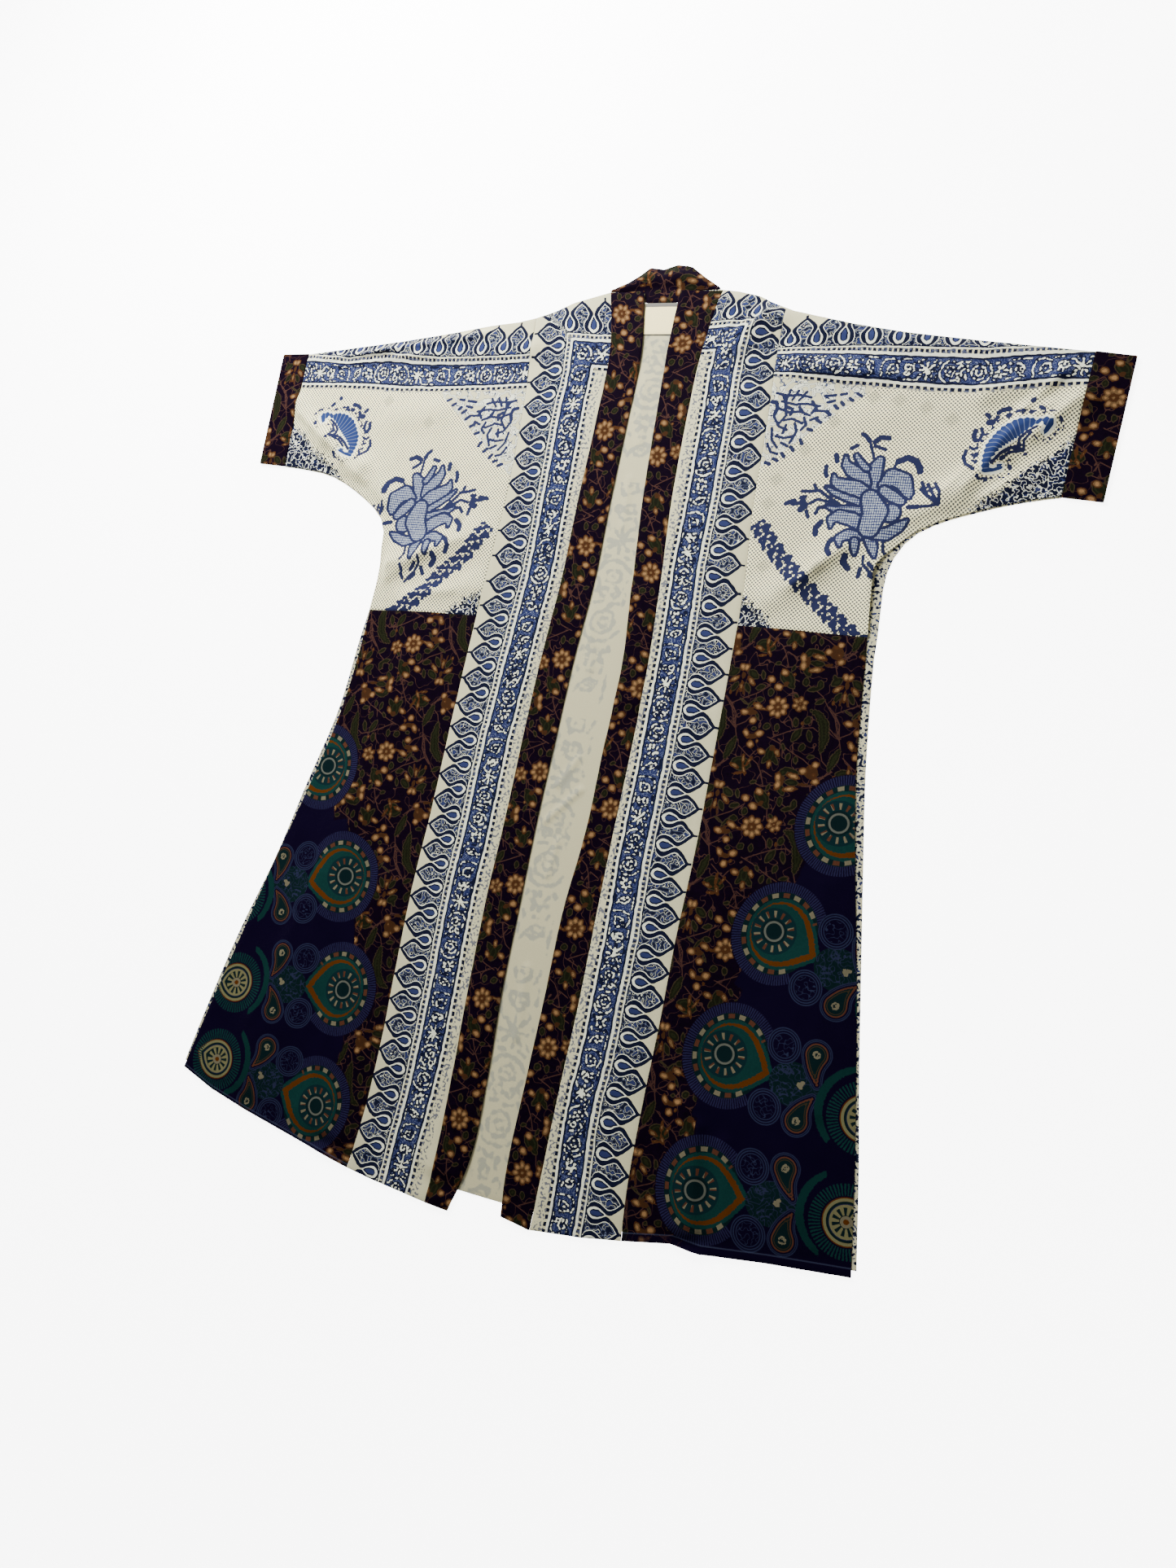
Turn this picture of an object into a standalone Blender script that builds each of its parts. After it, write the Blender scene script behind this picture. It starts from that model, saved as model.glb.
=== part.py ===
"""Abaya with kimono sleeves, open down the front, laid flat with its fronts up.

The back lies on the surface and the front pieces lie on it. The cuffs are flattened tubes.
Left is -X, right is +X, the neck is at +Y and the underside is at Z = 0, where the origin is.
Tables and sizes are in millimetres, and each mesh is written in metres.
"""

import bpy
import numpy as np

MM = 0.001

# Cloth walls
CLOTH = 1.2
DOUBLED_CLOTH = 1.8
LABEL_CLOTH = 1.0
LAYER_GAP = 0.3
SEAM_GAP = 0.3

# Height at which the fronts start, on top of the back
FRONT_LEVEL = CLOTH + LAYER_GAP
# Mean slackness of the fronts, and the width over which it dies away at the garment's edge
LOFT = 0.6
EDGE_WIDTH = 18.0
# How far the edge of the fronts stays inside the edge of the back
FRONT_INSET = 1.0

# Seams that run from the shoulder to the hem, as x at each station y
LENGTHWISE_COLUMNS = ("y", "strip_left", "band_left", "edge_left", "edge_right", "band_right", "strip_right")
LENGTHWISE = (
    (570, -174, -76, -29, 24, 80, 161),
    (470, -165, -56, -13, 21, 65, 159),
    (370, -158, -55, -13, 23.5, 62.5, 163),
    (270, -156, -57, -14, 27.5, 64, 165),
    (170, -160, -57, -13.5, 35.5, 70.5, 172),
    (70, -163, -62, -19.5, 44, 75, 173),
    (-30, -165, -64.5, -22, 40.5, 74.5, 173),
    (-130, -166, -65.5, -24.5, 39, 72.5, 173),
    (-230, -169, -68.5, -24.5, 30.5, 71.5, 169.5),
    (-330, -168, -67.5, -24.5, 29, 71, 169),
    (-430, -166, -65, -20.5, 26.5, 68, 166.5),
    (-530, -170.5, -64.5, -22.5, 25, 66.5, 168),
    (-590, -178, -67, -38, 30, 65.5, 174),
)

# Sides of the skirt, where the back shows a little beyond the front
SIDES_COLUMNS = ("y", "back_left", "front_left", "front_right", "back_right")
SIDES = (
    (170, -318, -316, 315, 330),
    (110, -319, -317, 322, 331),
    (70, -323, -318, 325, 334),
    (-30, -331, -326, 334, 344),
    (-130, -353, -347, 350, 358),
    (-230, -374, -372.5, 368, 372.5),
    (-330, -402, -396, 384, 387),
    (-430, -424, -419.5, 399, 403),
    (-530, -443, -440.5, 412, 417),
    (-590, -455, -452.5, 420, 425),
)

# Edges that run across the garment, each row one point
ACROSS_COLUMNS = ("x", "y")
# Fold along the shoulders and the tops of the sleeves
SHOULDER = (
    (-509, 464), (-447, 472), (-368, 482), (-290, 494), (-230, 505), (-186, 510), (-151, 520),
    (-118, 536), (-72, 549), (72, 550), (96, 547), (126, 540), (147, 529), (171, 520), (245, 503),
    (305, 492), (384, 482), (509, 468),
)

# Hems of the fronts and of the back
FRONT_HEM = (
    (-450, -506), (-388, -528), (-333, -541), (-267, -554), (-235, -560), (-179, -571), (-143, -576),
    (-71, -583), (-37, -585), (28, -574), (64, -579), (124, -571), (171, -562), (225, -550), (257, -552),
    (326, -542), (430, -530),
)
BACK_HEM = (
    (-450, -498), (-388, -521), (-333, -534), (-267, -547), (-179, -557), (-28, -560), (24, -560),
    (124, -559), (225, -545), (326, -535), (430, -523),
)

# Underarm curves from the waist seam to the cuff seam, as points x, y
UNDERARM_LEFT = (
    (-319, 106), (-318, 161), (-321, 187), (-325, 216), (-336, 235), (-358, 252), (-384, 268),
    (-424, 286), (-469, 294), (-504, 297),
)
UNDERARM_RIGHT = (
    (331, 128), (330, 151), (329, 171), (329, 201), (336, 226), (351, 248), (372, 262), (412, 278),
    (462, 293), (497, 300),
)
# On the right the back's side turns up past the edge, so the front's seam runs further in
FRONT_UNDERARM = {"left": UNDERARM_LEFT, "right": (
    (322, 128), (319, 150), (312, 185), (318, 214), (333, 232), (349, 249), (371, 263), (411, 279),
    (461, 294), (497, 301),
)}

# Waist seams. Columns: side, y at the border strip, y at the side seam
WAIST = (("left", 111.5, 106.0), ("right", 128.5, 128.0))

# Cuffs: corners of the sleeve seam and of the open end, underarm corner first
CUFF_COLUMNS = ("side", "seam_low", "seam_high", "end_low", "end_high")
CUFFS = (
    ("left", (-504.0, 297.0), (-509.0, 464.0), (-546.0, 299.5), (-550.5, 463.0)),
    ("right", (497.0, 300.0), (509.0, 468.0), (539.0, 296.5), (551.0, 462.5)),
)
CUFF = {row[0]: dict(zip(CUFF_COLUMNS, row)) for row in CUFFS}
CUFF_HEIGHT = 3.6
CUFF_SECTIONS = 5
CUFF_STEPS = 10
CUFF_END_STEPS = 4

# Back neck band. Columns: x, y of its lower seam, y of its upper fold, how high it stands in between
NECK_BAND = (
    (-72, 549.4, 551.5, 0.0), (-50, 549.0, 562.0, 2.0), (-36, 548.4, 571.5, 3.5),
    (-24.5, 548.0, 580.5, 4.5), (-22.0, 533.4, 581.0, 4.5), (-14, 533.4, 580.0, 5.0),
    (-6, 533.4, 578.5, 3.5), (2, 533.4, 581.5, 4.5), (11, 533.4, 584.5, 6.5), (20.5, 533.4, 583.0, 5.5),
    (23.0, 548.0, 583.0, 5.0), (31, 548.4, 581.0, 4.5), (50, 549.4, 567.0, 2.5), (72, 550.4, 552.5, 0.0),
)
# Lower edge of the front bands' upper ends, where they meet the back neck band
NECK_JOIN_Y = 547.6
# The band lies flat below this line and stands up above it
NECK_CROWN_Y = 548.4
NECK_BAND_STEPS = 5
# The back's neckline below that band, from right to left
BACK_NECKLINE = ((23.4, 547.6), (20.9, 533.0), (-22.4, 533.0), (-24.9, 547.6))

# Label sewn into the back neck seam, partly under the front bands
LABEL_CENTRE_X = 1.5
LABEL_WIDTH = 43.0
LABEL_TOP_Y = 532.6
LABEL_LENGTH = 43.0
LABEL_CORNER = 0.3

# Folds of the fronts, each a soft ridge. Columns: x0, y0, x1, y1, half width, height
FOLDS = (
    # Right shoulder and the top of the right strip
    (160, 538, 112, 476, 17, 7.0),
    (84, 532, 96, 470, 16, 3.0),
    # Right sleeve
    (188, 450, 285, 440, 17, 5.0),
    (480, 441, 404, 417, 15, 5.0),
    (505, 414, 432, 354, 18, 6.0),
    (432, 354, 384, 298, 18, 5.5),
    (464, 326, 430, 292, 15, 4.0),
    (318, 262, 392, 298, 17, 4.0),
    (205, 500, 420, 476, 15, 3.0),
    # Right yoke
    (276, 232, 208, 164, 21, 6.0),
    (312, 206, 330, 142, 15, 3.5),
    (226, 372, 300, 392, 26, 2.5),
    # Left sleeve
    (-492, 461, -380, 473, 13, 4.0),
    (-380, 473, -236, 493, 15, 5.5),
    (-344, 456, -166, 470, 15, 4.5),
    (-506, 388, -440, 338, 15, 5.0),
    (-440, 338, -376, 300, 15, 5.0),
    (-470, 350, -388, 284, 13, 3.5),
    (-376, 300, -330, 258, 15, 4.0),
    # Left yoke
    (-345, 372, -280, 382, 24, 3.0),
    (-306, 166, -194, 213, 23, 6.0),
    (-266, 124, -176, 150, 17, 3.5),
    # Left shoulder and the two strips
    (-128, 526, -92, 446, 18, 4.0),
    (-118, 380, -112, 60, 32, 2.0),
    (-112, 20, -122, -420, 32, 2.5),
    (118, 380, 122, 60, 32, 2.0),
    (122, 10, 112, -440, 32, 2.5),
    # Front bands, raised over the label and slack where the right edge swings out
    (-22, 560, -20, 470, 15, 1.8),
    (24, 560, 24, 470, 15, 1.8),
    (50, 150, 55, 30, 22, 4.0),
    (-44, -340, -47, -560, 20, 2.5),
    # Left skirt
    (-232, 90, -262, -120, 36, 4.0),
    (-266, -160, -334, -470, 40, 5.0),
    (-206, -240, -214, -560, 28, 3.5),
    # Right skirt
    (236, 104, 262, -160, 36, 4.0),
    (300, -70, 346, -470, 40, 5.0),
    (206, -90, 198, -360, 28, 3.0),
    (216, -410, 241, -560, 22, 6.0),
)

# Rows and columns of each grid
YOKE_WAIST_STEPS = 9
YOKE_UNDERARM_STEPS = 17
YOKE_ROWS = 20
SKIRT_STEPS = 10
SKIRT_ROWS = 26
STRIP_STEPS = 4
BAND_STEPS = 2
LENGTHWISE_ROWS = 44
OUTLINE_STEP = 24.0
UNDERARM_POINTS = 16

# Cloth colours as linear values, and their roughness
CREAM = (0.66, 0.62, 0.52)
BORDER_BLUE = (0.22, 0.29, 0.44)
DARK_FLORAL = (0.024, 0.014, 0.028)
LABEL_WHITE = (0.78, 0.74, 0.62)
CLOTH_ROUGHNESS = 0.85


def column(table, columns, name):
    """One named column of a table, as an array."""
    return np.array([row[columns.index(name)] for row in table], dtype=float)


def smooth(stations, values, at):
    """A smooth curve through the values, read at new stations."""
    order = np.argsort(stations)
    x = stations[order]
    y = values[order]
    slope = np.gradient(y, x)
    at = np.asarray(at, dtype=float)
    i = np.clip(np.searchsorted(x, at) - 1, 0, len(x) - 2)
    step = x[i + 1] - x[i]
    t = (at - x[i]) / step
    start = (1 + 2 * t) * (1 - t) ** 2 * y[i] + t * (1 - t) ** 2 * step * slope[i]
    finish = t ** 2 * (3 - 2 * t) * y[i + 1] - t ** 2 * (1 - t) * step * slope[i + 1]
    return start + finish


def lengthwise(name, y):
    """One of the lines from the shoulder to the hem, as x at y."""
    station = column(LENGTHWISE, LENGTHWISE_COLUMNS, "y")
    return smooth(station, column(LENGTHWISE, LENGTHWISE_COLUMNS, name), y)


def side(name, y):
    """One side edge of the skirt, as x at y."""
    return smooth(column(SIDES, SIDES_COLUMNS, "y"), column(SIDES, SIDES_COLUMNS, name), y)


def edge(table, x):
    """Height in the plan of an edge that runs across the garment."""
    return np.interp(x, column(table, ACROSS_COLUMNS, "x"), column(table, ACROSS_COLUMNS, "y"))


def path(points, count):
    """Evenly spaced points on a smooth path through the given points."""
    points = np.array(points, dtype=float)
    length = np.concatenate(([0.0], np.cumsum(np.hypot(*np.diff(points, axis=0).T))))
    at = np.linspace(0.0, length[-1], count)
    return np.column_stack([smooth(length, points[:, k], at) for k in range(2)])


def crossing(line, table, inset):
    """Where a lengthwise line meets a crosswise edge that is moved by an inset."""
    y = 0.0
    for _ in range(12):
        x = float(line(y))
        y = float(edge(table, x)) + inset
    return np.array([x, y])


def stations(start, stop):
    """Even stations between two values, about the outline's step apart."""
    return np.linspace(start, stop, max(2, int(round(abs(stop - start) / OUTLINE_STEP))) + 1)


def side_edge(name, low_y, high_y):
    """Points up one side of the skirt, without the corners at its ends."""
    y = stations(low_y, high_y)[1:-1]
    return np.column_stack([side(name, y), y])


def across(table, start_x, stop_x):
    """Points along a crosswise edge, its ends among them."""
    x = stations(start_x, stop_x)
    return np.column_stack([x, edge(table, x)])


def outline_points(with_cuffs):
    """Closed outline in the plan, anticlockwise: of the back, or of the garment with its cuffs."""
    hem_left = crossing(lambda y: side("back_left", y), BACK_HEM, 0.0)
    hem_right = crossing(lambda y: side("back_right", y), BACK_HEM, 0.0)
    neck_left = NECK_BAND[0][0]
    neck_right = NECK_BAND[-1][0]
    if with_cuffs:
        right_end = [CUFF["right"]["end_low"], CUFF["right"]["end_high"]]
        left_end = [CUFF["left"]["end_high"], CUFF["left"]["end_low"]]
        neck = [(row[0], row[2]) for row in reversed(NECK_BAND)][1:-1]
    else:
        right_end = []
        left_end = []
        neck = BACK_NECKLINE
    return np.array([
        *across(BACK_HEM, hem_left[0], hem_right[0]),
        *side_edge("back_right", hem_right[1], UNDERARM_RIGHT[0][1]),
        *path(UNDERARM_RIGHT, UNDERARM_POINTS),
        *right_end,
        *across(SHOULDER, SHOULDER[-1][0], neck_right),
        *neck,
        *across(SHOULDER, neck_left, SHOULDER[0][0]),
        *left_end,
        *path(UNDERARM_LEFT, UNDERARM_POINTS)[::-1],
        *side_edge("back_left", UNDERARM_LEFT[0][1], hem_left[1]),
    ])


GARMENT_OUTLINE = outline_points(with_cuffs=True)


def distance_to_outline(x, y):
    """Distance in the plan from each point to the garment's outline."""
    nearest = np.full(np.shape(x), np.inf)
    for start, end in zip(GARMENT_OUTLINE, np.roll(GARMENT_OUTLINE, -1, axis=0)):
        along = end - start
        t = ((x - start[0]) * along[0] + (y - start[1]) * along[1]) / max(along @ along, 1e-9)
        t = np.clip(t, 0.0, 1.0)
        nearest = np.minimum(nearest, np.hypot(x - start[0] - t * along[0], y - start[1] - t * along[1]))
    return nearest


def relief(x, y):
    """How far the fronts stand above lying flat: slackness and folds, dying away at the edge."""
    lift = np.full(np.shape(x), LOFT)
    for x0, y0, x1, y1, half_width, height in FOLDS:
        dx = x1 - x0
        dy = y1 - y0
        t = np.clip(((x - x0) * dx + (y - y0) * dy) / (dx * dx + dy * dy), 0.0, 1.0)
        distance = np.hypot(x - x0 - t * dx, y - y0 - t * dy)
        lift = lift + height * np.exp(-(distance / half_width) ** 2)
    rise = np.clip(distance_to_outline(x, y) / EDGE_WIDTH, 0.0, 1.0)
    return lift * rise * rise * (3.0 - 2.0 * rise)


def patch(low, high, inner, outer):
    """Grid of plan points between four edges: low and high run across, inner and outer run up."""
    s = np.linspace(0.0, 1.0, len(low))[:, None, None]
    v = np.linspace(0.0, 1.0, len(inner))[None, :, None]
    low = low[:, None, :]
    high = high[:, None, :]
    between_sides = (1 - s) * inner[None, :, :] + s * outer[None, :, :]
    between_ends = (1 - v) * low + v * high
    corners = (1 - s) * ((1 - v) * low[:1] + v * high[:1]) + s * ((1 - v) * low[-1:] + v * high[-1:])
    return between_sides + between_ends - corners


def line_points(line, low_y, high_y, rows):
    """Points up a lengthwise line."""
    y = np.linspace(low_y, high_y, rows + 1)
    return np.column_stack([line(y), y])


def edge_points(start, end, steps, table, inset):
    """Points along a crosswise edge between two corners."""
    x = np.linspace(start[0], end[0], steps + 1)
    points = np.column_stack([x, edge(table, x) + inset])
    points[0] = start
    points[-1] = end
    return points


def add_material(obj, colour):
    """The piece's own cloth."""
    material = bpy.data.materials.new(obj.name + "_cloth")
    material.use_nodes = True
    shader = material.node_tree.nodes["Principled BSDF"]
    shader.inputs["Base Color"].default_value = (*colour, 1.0)
    shader.inputs["Roughness"].default_value = CLOTH_ROUGHNESS
    shader.inputs["Metallic"].default_value = 0.0
    obj.data.materials.append(material)


def add_sheet(name, points, faces, thickness, offset, colour):
    """An open surface that Solidify turns into a cloth wall."""
    mesh = bpy.data.meshes.new(name)
    mesh.from_pydata([tuple(p) for p in points * MM], [], faces)
    mesh.update()
    obj = bpy.data.objects.new(name, mesh)
    COLLECTION.objects.link(obj)
    wall = obj.modifiers.new("Cloth", "SOLIDIFY")
    wall.thickness = thickness * MM
    wall.offset = offset
    add_material(obj, colour)
    return obj


def grid_faces(rows, columns, wrap, flip):
    """Quads of a grid, which may close on itself across its columns."""
    faces = []
    for i in range(rows - 1):
        for j in range(columns if wrap else columns - 1):
            k = (j + 1) % columns
            quad = (i * columns + j, (i + 1) * columns + j, (i + 1) * columns + k, i * columns + k)
            faces.append(quad[::-1] if flip else quad)
    return faces


def add_front(name, plan, thickness, colour):
    """A front piece: plan points lifted onto the folded surface, and thickened upwards."""
    columns, rows = plan.shape[:2]
    flat = plan.reshape(-1, 2)
    height = FRONT_LEVEL + relief(flat[:, 0], flat[:, 1])
    first = plan[1, 0] - plan[0, 0]
    second = plan[0, 1] - plan[0, 0]
    faces_down = first[0] * second[1] - first[1] * second[0] < 0.0
    faces = grid_faces(columns, rows, wrap=False, flip=faces_down)
    add_sheet(name, np.column_stack([flat, height]), faces, thickness, 1.0, colour)


def add_back_panel():
    """The back with its sleeve backs, a flat T-shaped wall that the garment rests on."""
    curve = bpy.data.curves.new("back_panel", "CURVE")
    curve.dimensions = "2D"
    curve.fill_mode = "BOTH"
    curve.extrude = CLOTH * MM / 2
    outline = outline_points(with_cuffs=False) * MM
    spline = curve.splines.new("POLY")
    spline.points.add(len(outline) - 1)
    for point, (x, y) in zip(spline.points, outline):
        point.co = (x, y, 0.0, 1.0)
    spline.use_cyclic_u = True
    obj = bpy.data.objects.new("back_panel", curve)
    obj.location.z = CLOTH * MM / 2
    COLLECTION.objects.link(obj)
    add_material(obj, CREAM)


def add_lengthwise(name, inner_name, outer_name, inner_gap, outer_gap, top, steps, thickness, colour):
    """A strip or band between two lengthwise lines, from the hem to its upper end."""
    outward = 1.0 if name.endswith("right") else -1.0

    def inner(y):
        return lengthwise(inner_name, y) + outward * inner_gap

    def outer(y):
        return lengthwise(outer_name, y) - outward * outer_gap

    low_inner = crossing(inner, FRONT_HEM, 0.0)
    low_outer = crossing(outer, FRONT_HEM, 0.0)
    low = edge_points(low_inner, low_outer, steps, FRONT_HEM, 0.0)
    if top is None:
        high_inner = crossing(inner, SHOULDER, -FRONT_INSET)
        high_outer = crossing(outer, SHOULDER, -FRONT_INSET)
        high = edge_points(high_inner, high_outer, steps, SHOULDER, -FRONT_INSET)
    else:
        high_inner = np.array([float(inner(top)), top])
        high_outer = np.array([float(outer(top)), top])
        high = np.linspace(high_inner, high_outer, steps + 1)
    inner_line = line_points(inner, low_inner[1], high_inner[1], LENGTHWISE_ROWS)
    outer_line = line_points(outer, low_outer[1], high_outer[1], LENGTHWISE_ROWS)
    add_front(name, patch(low, high, inner_line, outer_line), thickness, colour)


def add_skirt(side_name, waist_inner, waist_outer):
    """A front skirt panel, from its hem to the waist seam."""
    outward = 1.0 if side_name == "right" else -1.0
    half = SEAM_GAP / 2

    def inner(y):
        return lengthwise("strip_" + side_name, y) + outward * half

    def outer(y):
        return side("front_" + side_name, y)

    low_inner = crossing(inner, FRONT_HEM, 0.0)
    low_outer = crossing(outer, FRONT_HEM, 0.0)
    high_inner = np.array([float(inner(waist_inner)), waist_inner - half])
    high_outer = np.array([float(outer(waist_outer)), waist_outer - half])
    low = edge_points(low_inner, low_outer, SKIRT_STEPS, FRONT_HEM, 0.0)
    high = np.linspace(high_inner, high_outer, SKIRT_STEPS + 1)
    inner_line = line_points(inner, low_inner[1], high_inner[1], SKIRT_ROWS)
    outer_line = line_points(outer, low_outer[1], high_outer[1], SKIRT_ROWS)
    add_front("skirt_" + side_name, patch(low, high, inner_line, outer_line), CLOTH, DARK_FLORAL)


def add_yoke_sleeve(side_name, waist_inner):
    """A front yoke cut in one with the sleeve front, from the border strip to the cuff seam."""
    outward = 1.0 if side_name == "right" else -1.0
    half = SEAM_GAP / 2

    def inner(y):
        return lengthwise("strip_" + side_name, y) + outward * half

    underarm = np.array(FRONT_UNDERARM[side_name], dtype=float)
    underarm[:, 1] += FRONT_INSET
    underarm[:2, 0] -= outward * FRONT_INSET
    underarm[0, 1] = underarm[0, 1] - FRONT_INSET + half
    underarm[-1, 0] -= outward * half
    low_inner = np.array([float(inner(waist_inner)), waist_inner + half])
    waist = np.linspace(low_inner, underarm[0], YOKE_WAIST_STEPS + 1)
    low = np.vstack([waist[:-1], path(underarm, YOKE_UNDERARM_STEPS + 1)])
    high_inner = crossing(inner, SHOULDER, -FRONT_INSET)
    seam_high = CUFF[side_name]["seam_high"]
    high_outer = np.array([seam_high[0] - outward * half, seam_high[1] - FRONT_INSET])
    high = edge_points(high_inner, high_outer, len(low) - 1, SHOULDER, -FRONT_INSET)
    inner_line = line_points(inner, low_inner[1], high_inner[1], YOKE_ROWS)
    outer_line = np.linspace(low[-1], high[-1], YOKE_ROWS + 1)
    add_front("yoke_sleeve_" + side_name, patch(low, high, inner_line, outer_line), CLOTH, CREAM)


def cuff_ring(length):
    """Ring of a flattened tube: distance along the cuff, height, and whether it is the top layer."""
    radius = CUFF_HEIGHT / 2
    along = np.linspace(radius, length - radius, CUFF_STEPS + 1)
    turn = np.linspace(-np.pi / 2, np.pi / 2, CUFF_END_STEPS + 1)[1:-1]
    bottom = [(a, 0.0, 0.0) for a in along]
    far_end = [(length - radius + radius * np.cos(t), radius + radius * np.sin(t), 0.0) for t in turn]
    top = [(a, CUFF_HEIGHT, 1.0) for a in along[::-1]]
    near_end = [(radius - radius * np.cos(t), radius + radius * np.sin(t), 0.0) for t in turn[::-1]]
    return np.array(bottom + far_end + top + near_end)


def add_cuff(side_name):
    """A cuff, all round the end of a sleeve that is pressed flat."""
    outward = 1.0 if side_name == "right" else -1.0
    cuff = CUFF[side_name]
    rings = []
    for share in np.linspace(0.0, 1.0, CUFF_SECTIONS):
        low = (1 - share) * np.array(cuff["seam_low"]) + share * np.array(cuff["end_low"])
        high = (1 - share) * np.array(cuff["seam_high"]) + share * np.array(cuff["end_high"])
        low[0] += outward * SEAM_GAP / 2 * (1 - share)
        high[0] += outward * SEAM_GAP / 2 * (1 - share)
        length = np.hypot(*(high - low))
        ring = cuff_ring(length)
        plan = low + ring[:, :1] * (high - low) / length
        height = ring[:, 1] + ring[:, 2] * relief(plan[:, 0], plan[:, 1])
        rings.append(np.column_stack([plan, height]))
    points = np.vstack(rings)
    faces = grid_faces(CUFF_SECTIONS, len(rings[0]), wrap=True, flip=outward > 0)
    add_sheet("cuff_" + side_name, points, faces, CLOTH, -1.0, DARK_FLORAL)


def add_neck_band():
    """The doubled band behind the neck, standing up a little towards its fold."""
    v = np.linspace(0.0, 1.0, NECK_BAND_STEPS + 1)
    points = []
    for x, seam_y, fold_y, crown in NECK_BAND:
        for share in v:
            y = seam_y + share * (fold_y - seam_y)
            rise = np.clip((y - NECK_CROWN_Y) / (fold_y - NECK_CROWN_Y), 0.0, 1.0)
            points.append((x, y, crown * np.sin(np.pi * rise) ** 2))
    faces = grid_faces(len(NECK_BAND), len(v), wrap=False, flip=False)
    add_sheet("band_back_neck", np.array(points), faces, DOUBLED_CLOTH, 1.0, DARK_FLORAL)


def add_label():
    """The label, a small flat wall with eased edges on the inside of the back."""
    centre_y = LABEL_TOP_Y - LABEL_LENGTH / 2
    centre_z = FRONT_LEVEL + LABEL_CLOTH / 2
    centre = (LABEL_CENTRE_X * MM, centre_y * MM, centre_z * MM)
    bpy.ops.mesh.primitive_cube_add(size=1.0, location=centre)
    obj = bpy.context.active_object
    obj.name = "label"
    obj.data.name = "label"
    obj.scale = (LABEL_WIDTH * MM, LABEL_LENGTH * MM, LABEL_CLOTH * MM)
    bpy.ops.object.transform_apply(location=False, rotation=False, scale=True)
    bevel = obj.modifiers.new("Eased edges", "BEVEL")
    bevel.width = LABEL_CORNER * MM
    bevel.segments = 1
    for owner in list(obj.users_collection):
        owner.objects.unlink(obj)
    COLLECTION.objects.link(obj)
    add_material(obj, LABEL_WHITE)


for old in list(bpy.data.objects):
    bpy.data.objects.remove(old, do_unlink=True)
COLLECTION = bpy.data.collections.new("abaya")
bpy.context.scene.collection.children.link(COLLECTION)

HALF_GAP = SEAM_GAP / 2
add_back_panel()
for side_name, waist_inner, waist_outer in WAIST:
    add_yoke_sleeve(side_name, waist_inner)
    add_skirt(side_name, waist_inner, waist_outer)
    add_lengthwise("strip_" + side_name, "band_" + side_name, "strip_" + side_name,
                   HALF_GAP, HALF_GAP, None, STRIP_STEPS, CLOTH, BORDER_BLUE)
    add_lengthwise("band_" + side_name, "edge_" + side_name, "band_" + side_name,
                   0.0, HALF_GAP, NECK_JOIN_Y, BAND_STEPS, DOUBLED_CLOTH, DARK_FLORAL)
    add_cuff(side_name)
add_neck_band()
add_label()
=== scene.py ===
"""Looks of the abaya: printed and woven cloth pieces on the solids' forms, laid flat.

Left is -X, right is +X, the neck is at +Y and the underside is at Z = 0.
Tables and sizes are in millimetres, and each mesh is written in metres.
"""

import functools
import math

import bpy
import numpy as np
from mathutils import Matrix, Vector
from mathutils.geometry import delaunay_2d_cdt


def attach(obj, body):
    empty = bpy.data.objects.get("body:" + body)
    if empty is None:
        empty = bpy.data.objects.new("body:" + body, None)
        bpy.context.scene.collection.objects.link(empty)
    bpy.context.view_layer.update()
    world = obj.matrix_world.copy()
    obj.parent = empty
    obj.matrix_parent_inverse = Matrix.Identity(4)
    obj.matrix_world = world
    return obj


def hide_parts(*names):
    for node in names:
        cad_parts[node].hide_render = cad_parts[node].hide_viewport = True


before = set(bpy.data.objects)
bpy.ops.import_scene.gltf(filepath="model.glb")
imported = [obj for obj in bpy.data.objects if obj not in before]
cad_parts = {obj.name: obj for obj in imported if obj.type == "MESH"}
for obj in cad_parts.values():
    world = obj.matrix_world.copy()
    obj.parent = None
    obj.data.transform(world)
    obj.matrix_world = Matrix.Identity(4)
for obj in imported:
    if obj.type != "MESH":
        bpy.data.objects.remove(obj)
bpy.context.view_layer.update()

MM = 0.001
WHOLE_TURN = 2.0 * math.pi
# Farther off, in millimetres, than any drawn shape reaches, and far enough that the floral stays clear
FAR = 99.0
CLEAR = 9.0

# Cloth walls
CLOTH = 1.2
DOUBLED_CLOTH = 1.8
LABEL_CLOTH = 1.0
LAYER_GAP = 0.3
SEAM_GAP = 0.3

# Height at which the fronts start, on top of the back
FRONT_LEVEL = CLOTH + LAYER_GAP
# Mean slackness of the fronts, and the width over which it dies away at the garment's edge
LOFT = 0.6
EDGE_WIDTH = 18.0
# How far the edge of the fronts stays inside the edge of the back
FRONT_INSET = 1.0

# Seams that run from the shoulder to the hem, as x at each station y
LENGTHWISE_COLUMNS = (
    "y", "strip_left", "band_left", "edge_left", "edge_right", "band_right", "strip_right")
LENGTHWISE = (
    (570, -174, -76, -29, 24, 80, 161),
    (470, -165, -56, -13, 21, 65, 159),
    (370, -158, -55, -13, 23.5, 62.5, 163),
    (270, -156, -57, -14, 27.5, 64, 165),
    (170, -160, -57, -13.5, 35.5, 70.5, 172),
    (70, -163, -62, -19.5, 44, 75, 173),
    (-30, -165, -64.5, -22, 40.5, 74.5, 173),
    (-130, -166, -65.5, -24.5, 39, 72.5, 173),
    (-230, -169, -68.5, -24.5, 30.5, 71.5, 169.5),
    (-330, -168, -67.5, -24.5, 29, 71, 169),
    (-430, -166, -65, -20.5, 26.5, 68, 166.5),
    (-530, -170.5, -64.5, -22.5, 25, 66.5, 168),
    (-590, -178, -67, -38, 30, 65.5, 174),
)

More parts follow.
